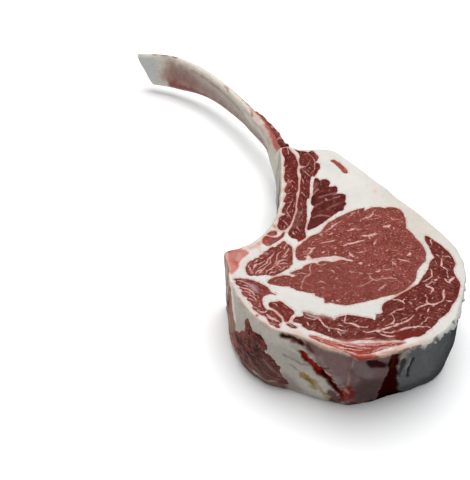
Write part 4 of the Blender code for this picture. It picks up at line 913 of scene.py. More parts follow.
RIB_MARKS = [
    (1.1, [(-47, 22.6), (-47.4, 20.4)], (0.34, 0.085, 0.06), 1.4, 0.8, 0.8, 0),
    (1.2, [(-40.6, 57), (-41, 53), (-40.4, 50.6)], (0.25, 0.055, 0.04), 1.4, 0.9, 0.75, 0),
    (1.1, [(-41.4, 45.6), (-42.2, 43), (-42.4, 41)], (0.25, 0.055, 0.04), 1.2, 0.8, 0.75, 0),
    (1.2, [(-38, 59.6), (-38.6, 58)], (0.27, 0.06, 0.045), 1.3, 0.8, 0.7, 0),
    (1.5, [(-40, 105), (-40.4, 101)], (0.24, 0.03, 0.022), 1.5, 0.8, 0.8, 0),
    (1.4, [(-38, 95), (-38, 86)], (0.078, 0.006, 0.005), 1.8, 1.0, 0.75, 0),
    (1.0, [(-45, 33), (-44.6, 29)], (0.14, 0.02, 0.016), 1.2, 0.8, 0.6, 0),
    (1.2, [(-45.6, 13), (-46, 10)], (0.075, 0.008, 0.006), 1.2, 0.8, 0.6, 0),
]
rib_lean = lean("rib_lean", (0.125, 0.014, 0.010), (0.078, 0.005, 0.004), seam=(0.50, 0.26, 0.22), flecks=0.22,
                streak_size=1.5, turn=40, rough=0.36, coat=0.12)
for name, low, high, node in (("upper_rib_flesh", RIB_TUNNEL[1], THICK, "upper_rib_lean"),
                              ("lower_rib_flesh", 0.0, RIB_TUNNEL[0], "lower_rib_lean")):
    strip = muscle(name, rib_lean, RIB_LEAN, RIB_SEAMS, 27, crown=0.6, heading=40, spacing=0.7, low=low,
                   high=high, marks=RIB_MARKS)
    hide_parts(node)
UPPER_LUMP = [
    (-57.2, 4.6), (-56, 3.7), (-54, 3.2), (-51.4, 3.5), (-50, 4.7), (-49.9, 6.6), (-50.6, 8.2), (-52.4, 8.6),
    (-54.6, 7.9), (-56.3, 6.2),
]
LOWER_LUMP = [
    (-59.4, 2), (-60.5, -0.6), (-60.3, -3.4), (-58.6, -6), (-57, -7), (-55.4, -6.4), (-53.4, -4.8), (-51, -3),
    (-49, -1.2), (-47.4, 0.4), (-45.8, 2.4), (-45.2, 4.4), (-44.9, 6.2), (-45.1, 7.3), (-45.9, 6.8),
    (-46.6, 5.4), (-47.7, 3.6), (-49.4, 2.1), (-51.4, 1.4), (-54, 1.7), (-56.2, 2.6), (-57.8, 3),
]
lump_lean = lean("lump_lean", (0.30, 0.055, 0.032), (0.17, 0.016, 0.010), seam=(0.40, 0.15, 0.11), flecks=0.1,
                 streaks=0.35, streak_size=1.4, turn=30, rough=0.30, coat=0.3)
for name, outline, strokes, mark in (
        ("upper_lump_flesh", UPPER_LUMP, [([(-54.4, 7.4), (-51, 7.6)], 0.9)],
         (1.0, [(-50.8, 4.6), (-53, 4.2), (-55, 4.4)], (0.14, 0.014, 0.010), 1.0, 0.5, 0.8, 0)),
        ("lower_lump_flesh", LOWER_LUMP, [([(-59, -1.6), (-58, -3)], 0.9), ([(-55, 1), (-51, 0.4)], 0.6)],
         (1.5, [(-55, -4.4), (-52, -2), (-49, 1), (-46, 4)], (0.13, 0.014, 0.010), 1.4, 0.8, 0.8, 0))):
    lump = muscle(name, lump_lean, outline, strokes, 29, crown=0.9, heading=40, spacing=0.65, marks=[mark])

# The rim lean and the fleck: a pink and red streaked band in the fat of the front rim, and one sliver of lean
# in the fat towards the handle.
RIM_BAND = [
    (-36.4, -80.8), (-34.6, -82.8), (-31, -85), (-27, -87), (-23, -88.9), (-18, -90.9), (-13, -92.6), (-9, -94),
    (-5, -94.2), (-1, -93), (3, -91.6), (8, -89.9), (13, -88.3), (17, -86.9), (19, -85.6), (14, -85.8),
    (8, -86), (0, -86.2), (-6, -86.5), (-12, -86.7), (-18, -86), (-22, -85.1), (-26, -83.8), (-30, -82.1),
    (-33, -81),
]
RIM_SEAMS = [
    ([(-35, -81.4), (-28, -84), (-20, -86.6), (-10, -87.6), (-2, -87.2), (8, -87), (16, -86.4)], 0.9),
    ([(-30, -84.4), (-24, -87), (-18, -89.6), (-12, -91)], 0.8),
    ([(-17, -87.6), (-11, -89), (-4, -89.6), (2, -89.8), (9, -88.6)], 1.0),
    ([(-27, -85.4), (-22, -87.6), (-17, -89.4)], 0.6), ([(-12, -88), (-4, -88.2), (4, -88)], 0.6),
    ([(-14, -91), (-9, -91.4), (-5, -91.2)], 0.7), ([(2, -90.6), (8, -89.4), (14, -87.6)], 0.8),
    ([(-9, -90.2), (-3, -90.2), (2, -90.4)], 0.5), ([(-22, -85.8), (-14, -86.8), (-8, -87)], 0.5),
    ([(-1, -92), (3, -91)], 0.6), ([(-25, -88), (-21, -89.2), (-17, -90.6)], 0.5),
    ([(-7, -93.2), (-3, -93)], 0.5),
]
RIM_MARKS = [
    (0.9, [(-34.6, -81.6), (-32.6, -83.4)], (0.36, 0.08, 0.045), 0.8, 0.6, 0.85, 0),
    (0, [(-30.4, -83.4), (-26.5, -84.9), (-21.8, -87), (-18.4, -88.2), (-20, -89.2), (-22.8, -88.6),
         (-26, -87)], (0.36, 0.075, 0.042), 1.0, 0.9, 0.85, 0),
    (0.4, [(-15.1, -87.2), (-8.3, -88.4), (-0.3, -89), (6.5, -88), (14.6, -86.6)], (0.2, 0.026, 0.016), 0.6,
     0.7, 0.85, 0),
    (0.4, [(-11, -90), (-7, -90.7), (-1.6, -90.7), (5.1, -89.4)], (0.2, 0.026, 0.016), 0.6, 0.7, 0.85, 0),
    (0, [(-12, -91.8), (-10.3, -90.8), (-7, -91.7), (-4.3, -92.2), (-1.8, -92.2), (-4, -94), (-8, -93.8)],
     (0.28, 0.03, 0.016), 0.8, 0.9, 0.9, 0),
]
rim_lean = lean("rim_lean", (0.26, 0.050, 0.036), (0.16, 0.018, 0.011), seam=(0.60, 0.35, 0.31), flecks=0.55,
                streaks=0.6, streak_size=0.9, turn=-5)
rim = muscle("rim_lean_flesh", rim_lean, RIM_BAND, RIM_SEAMS, 31, crown=0.1, heading=-4, bend=-0.5, spacing=0.7,
             marks=RIM_MARKS)
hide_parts("rim_lean")
FLECK = [
    (-2.4, 90.8), (-3.1, 89.6), (-2.6, 88.2), (-1.2, 86.4), (0.2, 83.6), (1.4, 80.8), (2.7, 78), (3.7, 75.6),
    (4.8, 73.8), (6.4, 73), (8.2, 73.8), (8.4, 76), (7.4, 79), (5.8, 82.2), (4, 85.2), (2.2, 87.8), (0.4, 90),
    (-1.2, 91.2),
]
FLECK_MARK = (1.6, [(-1.6, 89), (3, 81), (6, 75)], (0.24, 0.058, 0.048), 1.4, 0.6, 0.8, 0)
fleck = muscle("lean_fleck_flesh", rim_lean, FLECK, [([(6, 79), (7, 75.4)], 0.6)], 33, crown=0.2, heading=-62,
               spacing=0.7, marks=[FLECK_MARK])
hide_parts("lean_fleck")

# The fat body: one piece of firm white fat that fills the space between the muscles and makes most of the
# outer wall, with grey and lilac membrane and torn red meat on it, and painted shade that greys and darkens
# the wall on its front right and right. The wall's patches are given unrolled: mm round the edge from the
# chine tip, and height.
WALL_STEP = 0.95
FAT_CROWN, FAR_FROM_RIM = 0.15, 30.0  # rise of the fat between the muscles; the wall counts as far from a rim
WALL_PATCHES = [
    # painted shade over the membrane's grey: front right and right of the wall, darkest at the right and low
    # down
    (0, [(232, -3), (236, 58), (300, 58), (310, -3)], (0.23, 0.225, 0.215), 14, 6, 0.9, 0),
    (0, [(150, -3), (152, 58), (258, 58), (268, 44), (276, -3)], (0.105, 0.108, 0.112), 9, 5, 1.0, 0),
    (0, [(150, -3), (152, 14), (200, 12), (260, 12), (270, -3)], (0.055, 0.056, 0.06), 8, 3, 0.8, 0),
    (0, [(183, -3), (190, 58), (262, 58), (270, -3)], (0.04, 0.044, 0.042), 14, 5, 0.9, 0),
    (1.0, [(166, 50), (172, 30), (180, 14)], (0.135, 0.14, 0.145), 4, 3, 0.5, 0.2),
    (0, [(97, 47), (90, 57), (150, 57), (151, -3), (124, -3), (121, 14), (113, 31), (106, 38)],
     (0.15, 0.092, 0.09), 3, 3, 1.0, 0),
    (0, [(96, 49), (104, 43), (112, 34), (120, 30), (121, 50), (112, 56), (98, 55)], (0.205, 0.128, 0.125), 4,
     2, 0.8, 0.3),
    (0, [(122, 52), (133, 50), (137, 40), (133, 28), (126, 36)], (0.17, 0.135, 0.137), 3, 2, 0.7, 0),
    (1.4, [(103, 45), (110, 38), (117, 28), (121, 20)], (0.25, 0.195, 0.19), 1.8, 3.4, 0.75, 0.3),
    (0.8, [(124, 40), (131, 30), (138, 18)], (0.19, 0.15, 0.155), 1.6, 2, 0.6, 0),
    (3.0, [(133, 50), (140, 46.5)], (0.024, 0.004, 0.005), 1.2, 1.8, 0.97, -0.3),
    (1.2, [(121, 43), (129, 34), (136, 24)], (0.08, 0.034, 0.028), 2, 1.5, 0.6, -0.3),
    (0, [(123, 26), (132, 31), (141, 35), (146, 30), (146, 2), (130, 6), (124, 16)], (0.066, 0.044, 0.042), 5,
     3, 0.9, 0),
    (0, [(43, 57), (88, 57), (92, 48), (100, 38), (110, 28), (118, 16), (122, -3), (60, -3), (72, 30),
         (60, 48)], (0.42, 0.39, 0.345), 3, 3, 1.0, 0.3),
    (0, [(46, 56), (88, 55), (88, 47), (70, 45), (56, 50)], (0.56, 0.525, 0.465), 3, 2, 0.7, 0),
    (0, [(86, 50), (100, 38), (96, 30), (84, 38)], (0.35, 0.32, 0.28), 3, 2, 0.7, 0),
    (1.0, [(84, 45), (92, 42), (98, 38)], (0.56, 0.54, 0.48), 1.4, 2, 0.8, 0.3),
    (0, [(82, 20), (92, 16), (97, 3), (84, -1), (82, 8)], (0.27, 0.2, 0.19), 4, 3, 0.7, 0),
    (0, [(90, 32), (104, 26), (112, 14), (116, 4), (100, 3), (92, 14)], (0.46, 0.43, 0.38), 3, 2, 0.8, 0.4),
    (0.5, [(82, 38), (92, 34), (99, 36)], (0.15, 0.11, 0.085), 0.8, 0.6, 0.75, -0.6),
    (0.5, [(86, 30), (95, 26), (100, 22)], (0.17, 0.13, 0.1), 0.8, 0.6, 0.65, -0.5),
    (2.8, [(96, 23), (100, 21), (103, 17)], (0.26, 0.17, 0.045), 1.6, 2.4, 0.9, 0),
    (2.0, [(108, 14), (112, 10), (114, 5)], (0.24, 0.15, 0.04), 1.6, 2.2, 0.85, 0),
    (1.0, [(97, 22), (101, 19)], (0.14, 0.07, 0.015), 1.2, 1, 0.7, -0.2),
    (0, [(50, 8), (60, 5), (72, 7), (86, 9), (86, -2), (50, -2)], (0.13, 0.045, 0.035), 2, 2, 0.85, 0),
    # the sawn side of the chine bone, mottled grey-brown
    (0, [(-30, 58), (20, 58), (28, 54), (34, 49), (38, 43), (43, 33), (44, 20), (40, 8), (34, -2), (-30, -2)],
     (0.32, 0.185, 0.145), 1.2, 1, 1.0, -0.3),
    (1.6, [(-2, 54), (0, 40), (3, 26), (8, 10)], (0.11, 0.07, 0.055), 1.5, 3, 0.85, -0.2),
    (1.3, [(14, 53), (16, 42), (17, 30), (20, 12)], (0.11, 0.068, 0.054), 1.2, 3.4, 0.85, -0.2),
    (0.8, [(24, 50), (27, 42), (30, 30)], (0.17, 0.09, 0.07), 1.0, 3, 0.75, -0.1),
    (0.9, [(18.6, 46), (19.4, 43)], (0.035, 0.016, 0.013), 0.8, 1.8, 0.95, -0.3),
    (0.9, [(20, 35), (21, 31)], (0.04, 0.018, 0.014), 0.8, 1.8, 0.95, -0.3),
    (0.7, [(27, 36), (27.6, 34)], (0.07, 0.03, 0.024), 0.8, 1.8, 0.9, -0.2),
    (0.9, [(6, 55), (8, 40), (12, 26), (16, 10)], (0.16, 0.06, 0.05), 1.2, 1.5, 0.8, -0.2),
    (1.2, [(16, 54), (21, 38), (27, 20), (29, 6)], (0.17, 0.085, 0.068), 1.4, 2, 0.8, -0.2),
    (0.7, [(11, 52), (14, 30), (18, 14)], (0.46, 0.34, 0.29), 1.0, 1.4, 0.7, 0.2),
    (0.8, [(24, 47), (29, 36), (33, 24)], (0.42, 0.33, 0.28), 1.2, 2.4, 0.7, 0.1),
    (1.4, [(0, 38), (2, 30)], (0.022, 0.006, 0.005), 1.2, 1.4, 0.95, -0.4),
    (0.8, [(4, 47), (6, 45)], (0.05, 0.02, 0.016), 0.9, 1.4, 0.9, -0.3),
    (0.8, [(18, 26), (20, 24)], (0.06, 0.022, 0.018), 0.9, 1.6, 0.9, -0.3),
    (0.9, [(30, 14), (33, 10)], (0.09, 0.03, 0.025), 1, 1.6, 0.9, -0.3),
    # the fat's cream-white strip along the sawn edge, brightened as painted highlight
    (2.4, [(22, 56), (30, 51.6), (36, 46), (41, 38)], (0.82, 0.72, 0.62), 1.2, 1.4, 0.9, 0.4),
    # torn meat in the split of the fat
    (1.9, [(79.5, 54), (85, 54.5), (90, 51)], (0.035, 0.004, 0.003), 0.8, 1.4, 1.0, -0.6),
    (0.9, [(85, 52), (92, 52), (98, 48)], (0.1, 0.022, 0.02), 1.2, 2.4, 0.85, -0.2),
    (0, [(89, 45.5), (95, 44.5), (99, 40), (104, 37.5), (107, 36), (112, 30), (116, 21), (121, 14), (120, 10),
         (113, 19), (108, 26), (102, 32), (97, 37), (92, 41)], (0.13, 0.008, 0.005), 0.7, 2.6, 1.0, -0.9),
    (1.2, [(95, 43), (100, 38), (105, 33)], (0.3, 0.018, 0.012), 0.8, 1.8, 0.9, 0),
    (1.5, [(106, 32), (111, 25), (117, 16)], (0.022, 0.002, 0.001), 0.8, 1.5, 0.97, -0.4),
    (0.6, [(104, 36), (109, 40)], (0.11, 0.008, 0.006), 0.6, 1.6, 0.9, -0.2),
    (0.6, [(110, 30), (114, 35)], (0.09, 0.008, 0.006), 0.6, 1.6, 0.9, -0.2),
    (0.6, [(115, 22), (119, 27)], (0.11, 0.008, 0.006), 0.6, 1.6, 0.9, -0.2),
    (0.5, [(98, 40), (101, 44)], (0.12, 0.01, 0.008), 0.6, 1.6, 0.9, -0.1),
    (0.25, [(121.5, 55), (122, 49), (121, 43), (122, 26)], (0.4, 0.3, 0.23), 0.6, 0.5, 0.7, 0.2),
    (0, [(119, 19), (123, 27), (128, 19), (126, 9), (120, 6)], (0.165, 0.016, 0.011), 1.4, 3.4, 0.9, -0.3),
    (0.5, [(121, 22), (124, 17), (123, 10)], (0.4, 0.17, 0.13), 0.7, 2.2, 0.8, 0),
    (1.0, [(124, 7), (129, 3)], (0.2, 0.02, 0.012), 1.0, 2.4, 0.9, 0),
    (0, [(144, 57), (144.6, 48), (144.6, 40), (144.2, 30), (144.6, 10), (144.4, -2), (161, -2), (159.5, 8),
         (157, 17), (153, 29), (150.4, 40), (150.4, 53)], (0.018, 0.002, 0.0015), 0.8, 1.3, 1.0, -0.8),
    (0.8, [(146, 54), (147, 44), (148.4, 34)], (0.06, 0.007, 0.004), 0.8, 1.4, 0.85, 0),
    (1.3, [(153.4, 46), (153.6, 36), (154.6, 27)], (0.02, 0.02, 0.017), 1.2, 1.4, 0.9, -0.2),
    (1.2, [(157.2, 46), (156.5, 37)], (0.2, 0.195, 0.19), 0.9, 0.6, 0.8, 0.6),
    (0.8, [(160, 44.5), (159, 36), (161.6, 24)], (0.003, 0.002, 0.002), 0.6, 0.5, 1.0, -1.4),
    (0, [(140, 3), (148, 4), (162, 3), (162, -2), (138, -2)], (0.008, 0.002, 0.0015), 1.2, 2.5, 0.95, 0),
    # the edge under the cut face: pinkish in front, torn white shreds on the right
    (0, [(40, 58), (40, 54.6), (80, 55), (120, 54.4), (152, 54), (152, 58)], (0.43, 0.3, 0.25), 0.7, 1.4, 0.85,
     0.3),
    (0.9, [(120, 56), (127, 55.4), (134, 55.6)], (0.27, 0.028, 0.016), 0.8, 2.0, 0.9, 0.1),
    (0.8, [(148, 55), (154, 55.6), (158, 56)], (0.2, 0.12, 0.085), 0.8, 1.0, 0.8, 0.4),
    (0, [(156, 58), (158, 54.6), (164, 54), (170, 53), (180, 53.4), (190, 52.6), (200, 53.2), (206, 54),
         (214, 55), (222, 56), (222, 58)], (0.47, 0.47, 0.44), 0.45, 4.6, 1.0, 1.0),
    (0, [(206, 58), (208, 55), (230, 54.4), (300, 54), (300, 58)], (0.45, 0.445, 0.415), 1.0, 2.0, 1.0, 0.3),
    # back end, round the bone, and the hidden bay
    (0, [(396, 58), (404, 40), (402, 20), (398, -2), (434, -2), (436, 58)], (0.12, 0.028, 0.024), 3, 4, 0.9, 0),
    (2.5, [(404, 57), (407, 30), (404, 0)], (0.528, 0.464, 0.416), 2, 2, 0.85, 0.3),
    (0, [(434, 58), (434, -2), (574, -2), (574, 58)], (0.264, 0.248, 0.212), 3, 3, 1.0, 0),
    (9, [(446, 54), (450, 30), (448, 4)], (0.48, 0.465, 0.41), 4, 3, 0.9, 0),
    (0, [(472, 50), (540, 50), (530, 24), (472, 14)], (0.216, 0.224, 0.216), 7, 5, 0.8, 0),
    (3.2, [(462, 24), (480, 22), (496, 26), (514, 30), (528, 36)], (0.08, 0.076, 0.092), 3, 6, 0.75, -0.3),
    (0, [(434, 58), (434, 53.5), (470, 53), (530, 52), (548, 53), (548, 58)], (0.48, 0.416, 0.336), 1.2, 1.2,
     0.9, 0.3),
    (3.0, [(528, 46), (540, 36), (548, 26)], (0.028, 0.01, 0.008), 2.5, 3, 0.95, -0.6),
    (3.0, [(532, 22), (541, 14), (550, 4)], (0.496, 0.48, 0.416), 2.5, 2, 0.95, 0.8),
    (0, [(546, 57), (574, 57), (574, 20), (556, 24), (548, 40)], (0.24, 0.12, 0.08), 3, 3, 0.9, 0),
    (3.0, [(552, 22), (560, 12), (568, 4)], (0.336, 0.216, 0.072), 2.5, 3, 0.85, 0),
    (1.5, [(536, 30), (543, 20)], (0.128, 0.02, 0.012), 1.5, 2, 0.8, 0),
    (2.0, [(556, 34), (562, 30)], (0.032, 0.01, 0.006), 2, 2, 0.9, -0.3),
    # dark red under the torn meat, along the lower edge
    (0, [(112, 17), (117, 15), (120, 10), (121, -2), (113, -2), (111, 6)], (0.07, 0.016, 0.013), 1.4, 3.2, 0.85,
     -0.3),
    (1.0, [(122, 1.6), (130, 1.4), (138, 2)], (0.09, 0.018, 0.014), 1.2, 2.6, 0.8, 0),
]


def wall_paint(places):
    """Colour and relief, in mm, at places of the unrolled wall."""
    broad = cloud(places, 24, 41)[:, None] * 0.5 + cloud(places, 9, 42)[:, None] * 0.5
    tone = np.array((0.50, 0.46, 0.41)) * (1 + 0.12 * broad)
    pink = soft(cloud(places, 11, 43) + 0.4 * cloud(places, 3, 44), 0.35, 0.9)
    tone = toward(tone, (0.38, 0.17, 0.14), 0.55 * pink)
    relief = (0.55 * cloud(places, 13, 45) + 0.28 * cloud(places * (1, 0.45), 4.2, 46)
              + 0.10 * cloud(places, 1.9, 47))
    tone, relief = painted(tone, relief, places, WALL_PATCHES, 70)
    return tone, relief * soft(places[:, 1], 0, 5) * soft(THICK - places[:, 1], 0, 2.2)


edge_length = np.linalg.norm(np.roll(edge_line, -1, axis=0) - edge_line, axis=1).sum()
rounding = [math.radians(a) for a in (0, 28, 58, 90)]
levels = ([(RIM * (1 - math.sin(a)), THICK - RIM * (1 - math.cos(a))) for a in rounding]
          + [(0, z) for z in np.arange(THICK - RIM - WALL_STEP, RIM + 0.2, -WALL_STEP)]
          + [(RIM * (1 - math.sin(a)), RIM * (1 - math.cos(a))) for a in rounding[::-1]])
inset, height = np.array(levels).T
rows, columns = len(levels), len(edge_line)
unrolled = np.arange(columns) * edge_length / columns
places = np.column_stack([np.tile(unrolled, rows), np.repeat(height, columns)])
outward = np.tile(edge_out, (rows, 1))
wall_tone, relief = wall_paint(places)
shifts = np.vstack([wall_shift(edge_line, 1 - z / THICK) for z in height])
base = np.tile(edge_line, (rows, 1)) + shifts - outward * np.repeat(inset, columns)[:, None]
wall = np.column_stack([base + outward * relief[:, None], places[:, 1]])

# In the bay a thin membrane covers the bone, so the wall is pushed out over it there.
BAY, BAY_HEIGHTS = (438, 560), (6, 50)
RAY_START, RAY_REACH, MEMBRANE = 2, 16, 0.5
SPREADS, SPREAD_LOSS = 14, 0.985
bone_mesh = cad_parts["rib_bone"].data
bone_tree = BVHTree.FromPolygons([v.co / MM for v in bone_mesh.vertices],
                                 [tuple(f.vertices) for f in bone_mesh.polygons])
push = np.zeros((rows, columns))
for i in np.nonzero((unrolled > BAY[0]) & (unrolled < BAY[1]))[0]:
    way = Vector((*edge_out[i], 0))
    for r in np.nonzero((height > BAY_HEIGHTS[0]) & (height < BAY_HEIGHTS[1]))[0]:
        at = Vector(wall[r * columns + i])
        hit, normal, _, far = bone_tree.ray_cast(at - way * RAY_START, way, RAY_REACH)
        if hit is not None and normal.dot(way) > 0:
            push[r, i] = max(far - RAY_START + MEMBRANE, 0)
for _ in range(SPREADS):
    spread = (np.roll(push, 1, 0) + np.roll(push, -1, 0) + np.roll(push, 1, 1) + np.roll(push, -1, 1)) / 4
    push = np.maximum(push, spread * SPREAD_LOSS)
push *= soft(height, 0, 4)[:, None] * soft(THICK - height, 0, 3)[:, None]
wall[:, :2] += outward * push.ravel()[:, None]

# The chine bone's part of the edge runs from just before the chine tip to just after it.
CHINE_ENDS = ((-74.6, -7.9), (-82.4, -34.4))
CHINE_INNER = [(-79.6, -33), (-76.6, -28), (-74.4, -21), (-69.6, -14.6), (-70, -11.4)]
chine_from, chine_to = (int(np.argmin(np.linalg.norm(edge_line - at, axis=1))) for at in CHINE_ENDS)
chine_run = list(range(chine_from, columns)) + list(range(chine_to + 1))
chine_path = np.vstack([face_edge[chine_to], CHINE_INNER, face_edge[chine_from]])
chine_path = ragged(spaced(smooth_line(chine_path), 0.75), 0.5)[1:-1]
chine_ring = np.vstack([face_edge[chine_run], chine_path])


def slice_part(name, flat, faces, around, tone, gap, finish):
    """A part of the slice that reaches the outer wall: its two cut faces, its wall and its hidden sides.
    around gives, for each point of the face, its number in the outer edge or -1."""
    count = len(flat)
    under = flat + wall_shift(flat, 1.0)
    top = np.column_stack([flat, upper_height(flat, gap, FAT_CROWN)])
    bottom = np.column_stack([under, lower_height(under, gap)])
    seat = {int(n): i for i, n in enumerate(around) if n >= 0}
    used = sorted(seat)
    middle = np.arange(1, rows - 1)
    start = {n: 2 * count + k * len(middle) for k, n in enumerate(used)}
    walls = np.vstack([wall[middle * columns + n] for n in used])
    below_top = 1 - soft(THICK - height[middle], 0, 3)
    walls[:, 2] += np.concatenate([(top[seat[n], 2] - THICK) * below_top for n in used])
    tones = np.vstack([wall_tone[middle * columns + n] for n in used])
    quads = []
    for a, b in open_sides(faces):
        n, m = int(around[a]), int(around[b])
        if n >= 0 and m == (n + 1) % columns and n in seat and m in seat:
            one = [a] + [start[n] + k for k in range(len(middle))] + [a + count]
            two = [b] + [start[m] + k for k in range(len(middle))] + [b + count]
            quads += [(p, q, s, r) for p, q, r, s in zip(one, one[1:], two, two[1:])]
        else:
            quads.append((a, a + count, b + count, b))
    made = piece(name, np.vstack([top, bottom, walls]), both_sides(faces, count) + quads,
                 {"rim_mm": np.concatenate([gap, gap, np.full(len(walls), FAR_FROM_RIM)]),
                  "wall": np.concatenate([np.zeros(2 * count), np.ones(len(walls))]),
                  "tone": np.vstack([tone, tone, tones])}, finish)
    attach(made, "root")
    return made


fat_finish, add = shader("fat")
tone = field(add, "tone", True)
wall_share = field(add, "wall")
tone = shaded(add, 0.30, tone, noise(add, 2.2, 3, 0.6), (0.80, 0.78, 0.76), (1.18, 1.18, 1.18))
tone = shaded(add, maths(add, "MULTIPLY", wall_share, 0.6), tone, noise(add, 1.1, 3, 0.65, None, (1, 1, 3.5)),
              (0.62, 0.60, 0.58), (1.32, 1.34, 1.36))
near = maths(add, "ADD", field(add, "rim_mm"), between(add, noise(add, 1.7, 3, 0.6), 0.3, 0.7, -0.9, 0.9))
tone = mixed(add, between(add, near, 1.3, 0.0, 0.0, 0.55), tone, (0.46, 0.25, 0.21))
spots = maths(add, "SUBTRACT", between(add, noise(add, 5.5, 3, 0.65), 0.62, 0.74, 0.0, 0.18), wall_share)
tone = mixed(add, spots, tone, (0.60, 0.46, 0.41))
close(add, tone, 0.42, mixed(add, 0.5, noise(add, 3.2, 3, 0.55), noise(add, 0.7, 2, 0.6)), 0.5, 0.0, 0.0)

SEAM_SKIN = [
    (0.7, [(-38, -63), (-34, -64), (-30, -65)], (0.42, 0.36, 0.32), 0.7, 0.8, 0.8, -0.1),
    (0.6, [(-27, -66), (-23, -66.4), (-20, -69)], (0.42, 0.36, 0.32), 0.7, 0.8, 0.8, -0.1),
    (0.8, [(-63, -6), (-62, -12)], (0.6, 0.33, 0.22), 1.0, 1.0, 0.7, 0),
    (1.0, [(24, 50), (25, 51)], (0.64, 0.36, 0.29), 1.0, 1.0, 0.8, 0),
    (0.5, [(30, 45), (30.5, 46)], (0.64, 0.38, 0.31), 0.8, 0.8, 0.8, 0),
    (0.5, [(20, 57), (20.4, 57.6)], (0.64, 0.4, 0.33), 0.8, 0.8, 0.8, 0),
    (1.9, [(-51.6, 13.6), (-51.2, 11.6)], (0.5, 0.33, 0.28), 0.8, 0.4, 0.85, 0),
    (0.9, [(-51.7, 13.2), (-51.3, 11.8)], (0.17, 0.085, 0.07), 0.7, 0.4, 0.9, -0.7),
    (0.8, [(-46.4, 25), (-44, 25)], (0.58, 0.4, 0.36), 0.8, 0.5, 0.7, 0),
    (0.7, [(-65.9, -66.4), (-65.6, -66.1)], (0.24, 0.04, 0.03), 0.8, 0.4, 0.9, -0.2),
    (0, [(-3.6, -85.6), (1.4, -85.6), (1.6, -86.4), (-3.4, -86.6)], (0.66, 0.58, 0.53), 0.5, 0.4, 0.8, 0),
    (1.7, [(-69, -9.4), (-64, -5.4), (-59, -0.6)], (0.5, 0.27, 0.23), 1.8, 2.4, 0.75, 0),
    (0.9, [(-60, -3.4), (-55.6, 1.6)], (0.34, 0.085, 0.06), 1.0, 1.8, 0.8, 0),
    (0.7, [(-66.4, -8.2), (-63, -5.4)], (0.38, 0.11, 0.085), 0.9, 1.6, 0.75, 0),
    (1.2, [(-52, 6), (-49, 12), (-46, 18)], (0.5, 0.28, 0.24), 1.2, 2.0, 0.6, 0),
    (1.5, [(-30, -19.6), (-22, -19), (-12, -18.6), (-6, -19.6), (-2, -20.6)], (0.5, 0.32, 0.28), 1.2, 1.2, 0.65,
     0),
    (1.3, [(-16, -93.4), (-11, -95), (-5.6, -95.8), (0, -95)], (0.27, 0.026, 0.014), 0.8, 2.2, 0.9, 0),
    (0.7, [(-24, -90.6), (-18, -92.6)], (0.34, 0.09, 0.065), 0.8, 1.2, 0.8, 0),
    (0.7, [(4, -93.4), (12, -92)], (0.36, 0.12, 0.09), 0.8, 1.2, 0.7, 0),
]
holes = [loop for name, loop in cut_loops.items() if name != "lower_rib_flesh"]
flat, faces, source = triangles([face_edge] + holes + [chine_ring], WALL_STEP, 41)
around = np.where((source >= 0) & (source < columns), source, -1)
# White fat with a pink blush along the front rim, creamier and a little darker at the right, the darkening
# painted shade, and pink in the narrow seams.
tone = np.array((0.560, 0.543, 0.512)) * (1 + 0.04 * cloud(flat, 12, 51) + 0.02 * cloud(flat, 3, 52))[:, None]
angle = bearing(flat)
front = soft(angle, 185, 200) * (0.3 + 0.7 * soft(angle, 225, 245)) * (1 - soft(angle, 292, 306))
blush = (1 - soft(gap_to(face_edge, flat) + 1.8 * cloud(flat, 4, 53), 0.3, 4.0)) * front * 0.85
tone = toward(tone, (0.50, 0.31, 0.26), blush)
right = soft(flat[:, 0], 14, 40) * soft(flat[:, 1], -30, 10)
tone = tone * (1 - right[:, None] * (0.07, 0.10, 0.14))
beside_rib = 1 - soft(gap_to(cut_loops["upper_rib_flesh"], flat) + 0.8 * cloud(flat, 3, 56), 0.4, 3.2)
tone = toward(tone, (0.50, 0.33, 0.28), 0.62 * beside_rib)
hole_gaps = np.sort(np.stack([gap_to(loop, flat) for loop in holes]), axis=0)
narrow = 1 - soft(hole_gaps[:2].sum(axis=0) + 0.5 * cloud(flat, 3, 55), 0.9, 2.6)
tone = toward(tone, (0.44, 0.235, 0.20), 0.85 * narrow)
tone = painted(tone, 0, flat, SEAM_SKIN, 90)[0]
fat = slice_part("fat_flesh", flat, faces, around, tone, hole_gaps[0], fat_finish)
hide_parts("fat_body")

# The chine bone: the tip of the backbone, sawn through on its top and its side, spongy and salmon pink, with a
# pale skin along its edges and darker red where marrow shows.
CHINE_BONE_MARKS = [
    (1.6, [(-79, -22), (-76.5, -27)], (0.33, 0.075, 0.055), 1.5, 1.0, 0.8, 0),
    (1.3, [(-82, -13), (-78, -11)], (0.3, 0.085, 0.07), 1.4, 1.2, 0.7, 0),
    (0.9, [(-85, -14), (-84.6, -24), (-82.6, -33)], (0.55, 0.33, 0.28), 1.0, 1.2, 0.75, 0),
    (1.1, [(-76, -9), (-71, -10.4)], (0.55, 0.36, 0.31), 1.0, 1.2, 0.7, 0),
    (1.0, [(-75.6, -14), (-77.4, -20)], (0.5, 0.27, 0.23), 1.2, 1.4, 0.6, 0),
    (0.7, [(-84, -11), (-83, -11.6)], (0.16, 0.04, 0.05), 0.8, 0.6, 0.9, 0),
    (0.6, list(chine_path), (0.78, 0.66, 0.6), 0.8, 0.6, 0.8, 0),
]
bone_finish, add = shader("sawn_bone")
cells = add("TexVoronoi", {"Vector": add("TexCoord").outputs["Object"], "Scale": 900.0}).outputs["Distance"]
pores = between(add, cells, 0.12, 0.36)
tone = shaded(add, 0.6, field(add, "tone", True), noise(add, 1.2, 3, 0.7), (0.66, 0.58, 0.56),
              (1.3, 1.34, 1.36))
tone = shaded(add, 0.35, tone, pores, (0.45, 0.30, 0.28), (1.1, 1.1, 1.1))
close(add, tone, 0.45, mixed(add, 0.5, pores, noise(add, 2.0, 3)), 0.35, 0.0, 0.16)
flat, faces, source = triangles([chine_ring], 0.85, 43)
around = np.array([chine_run[s] if 0 <= s < len(chine_run) else -1 for s in source])
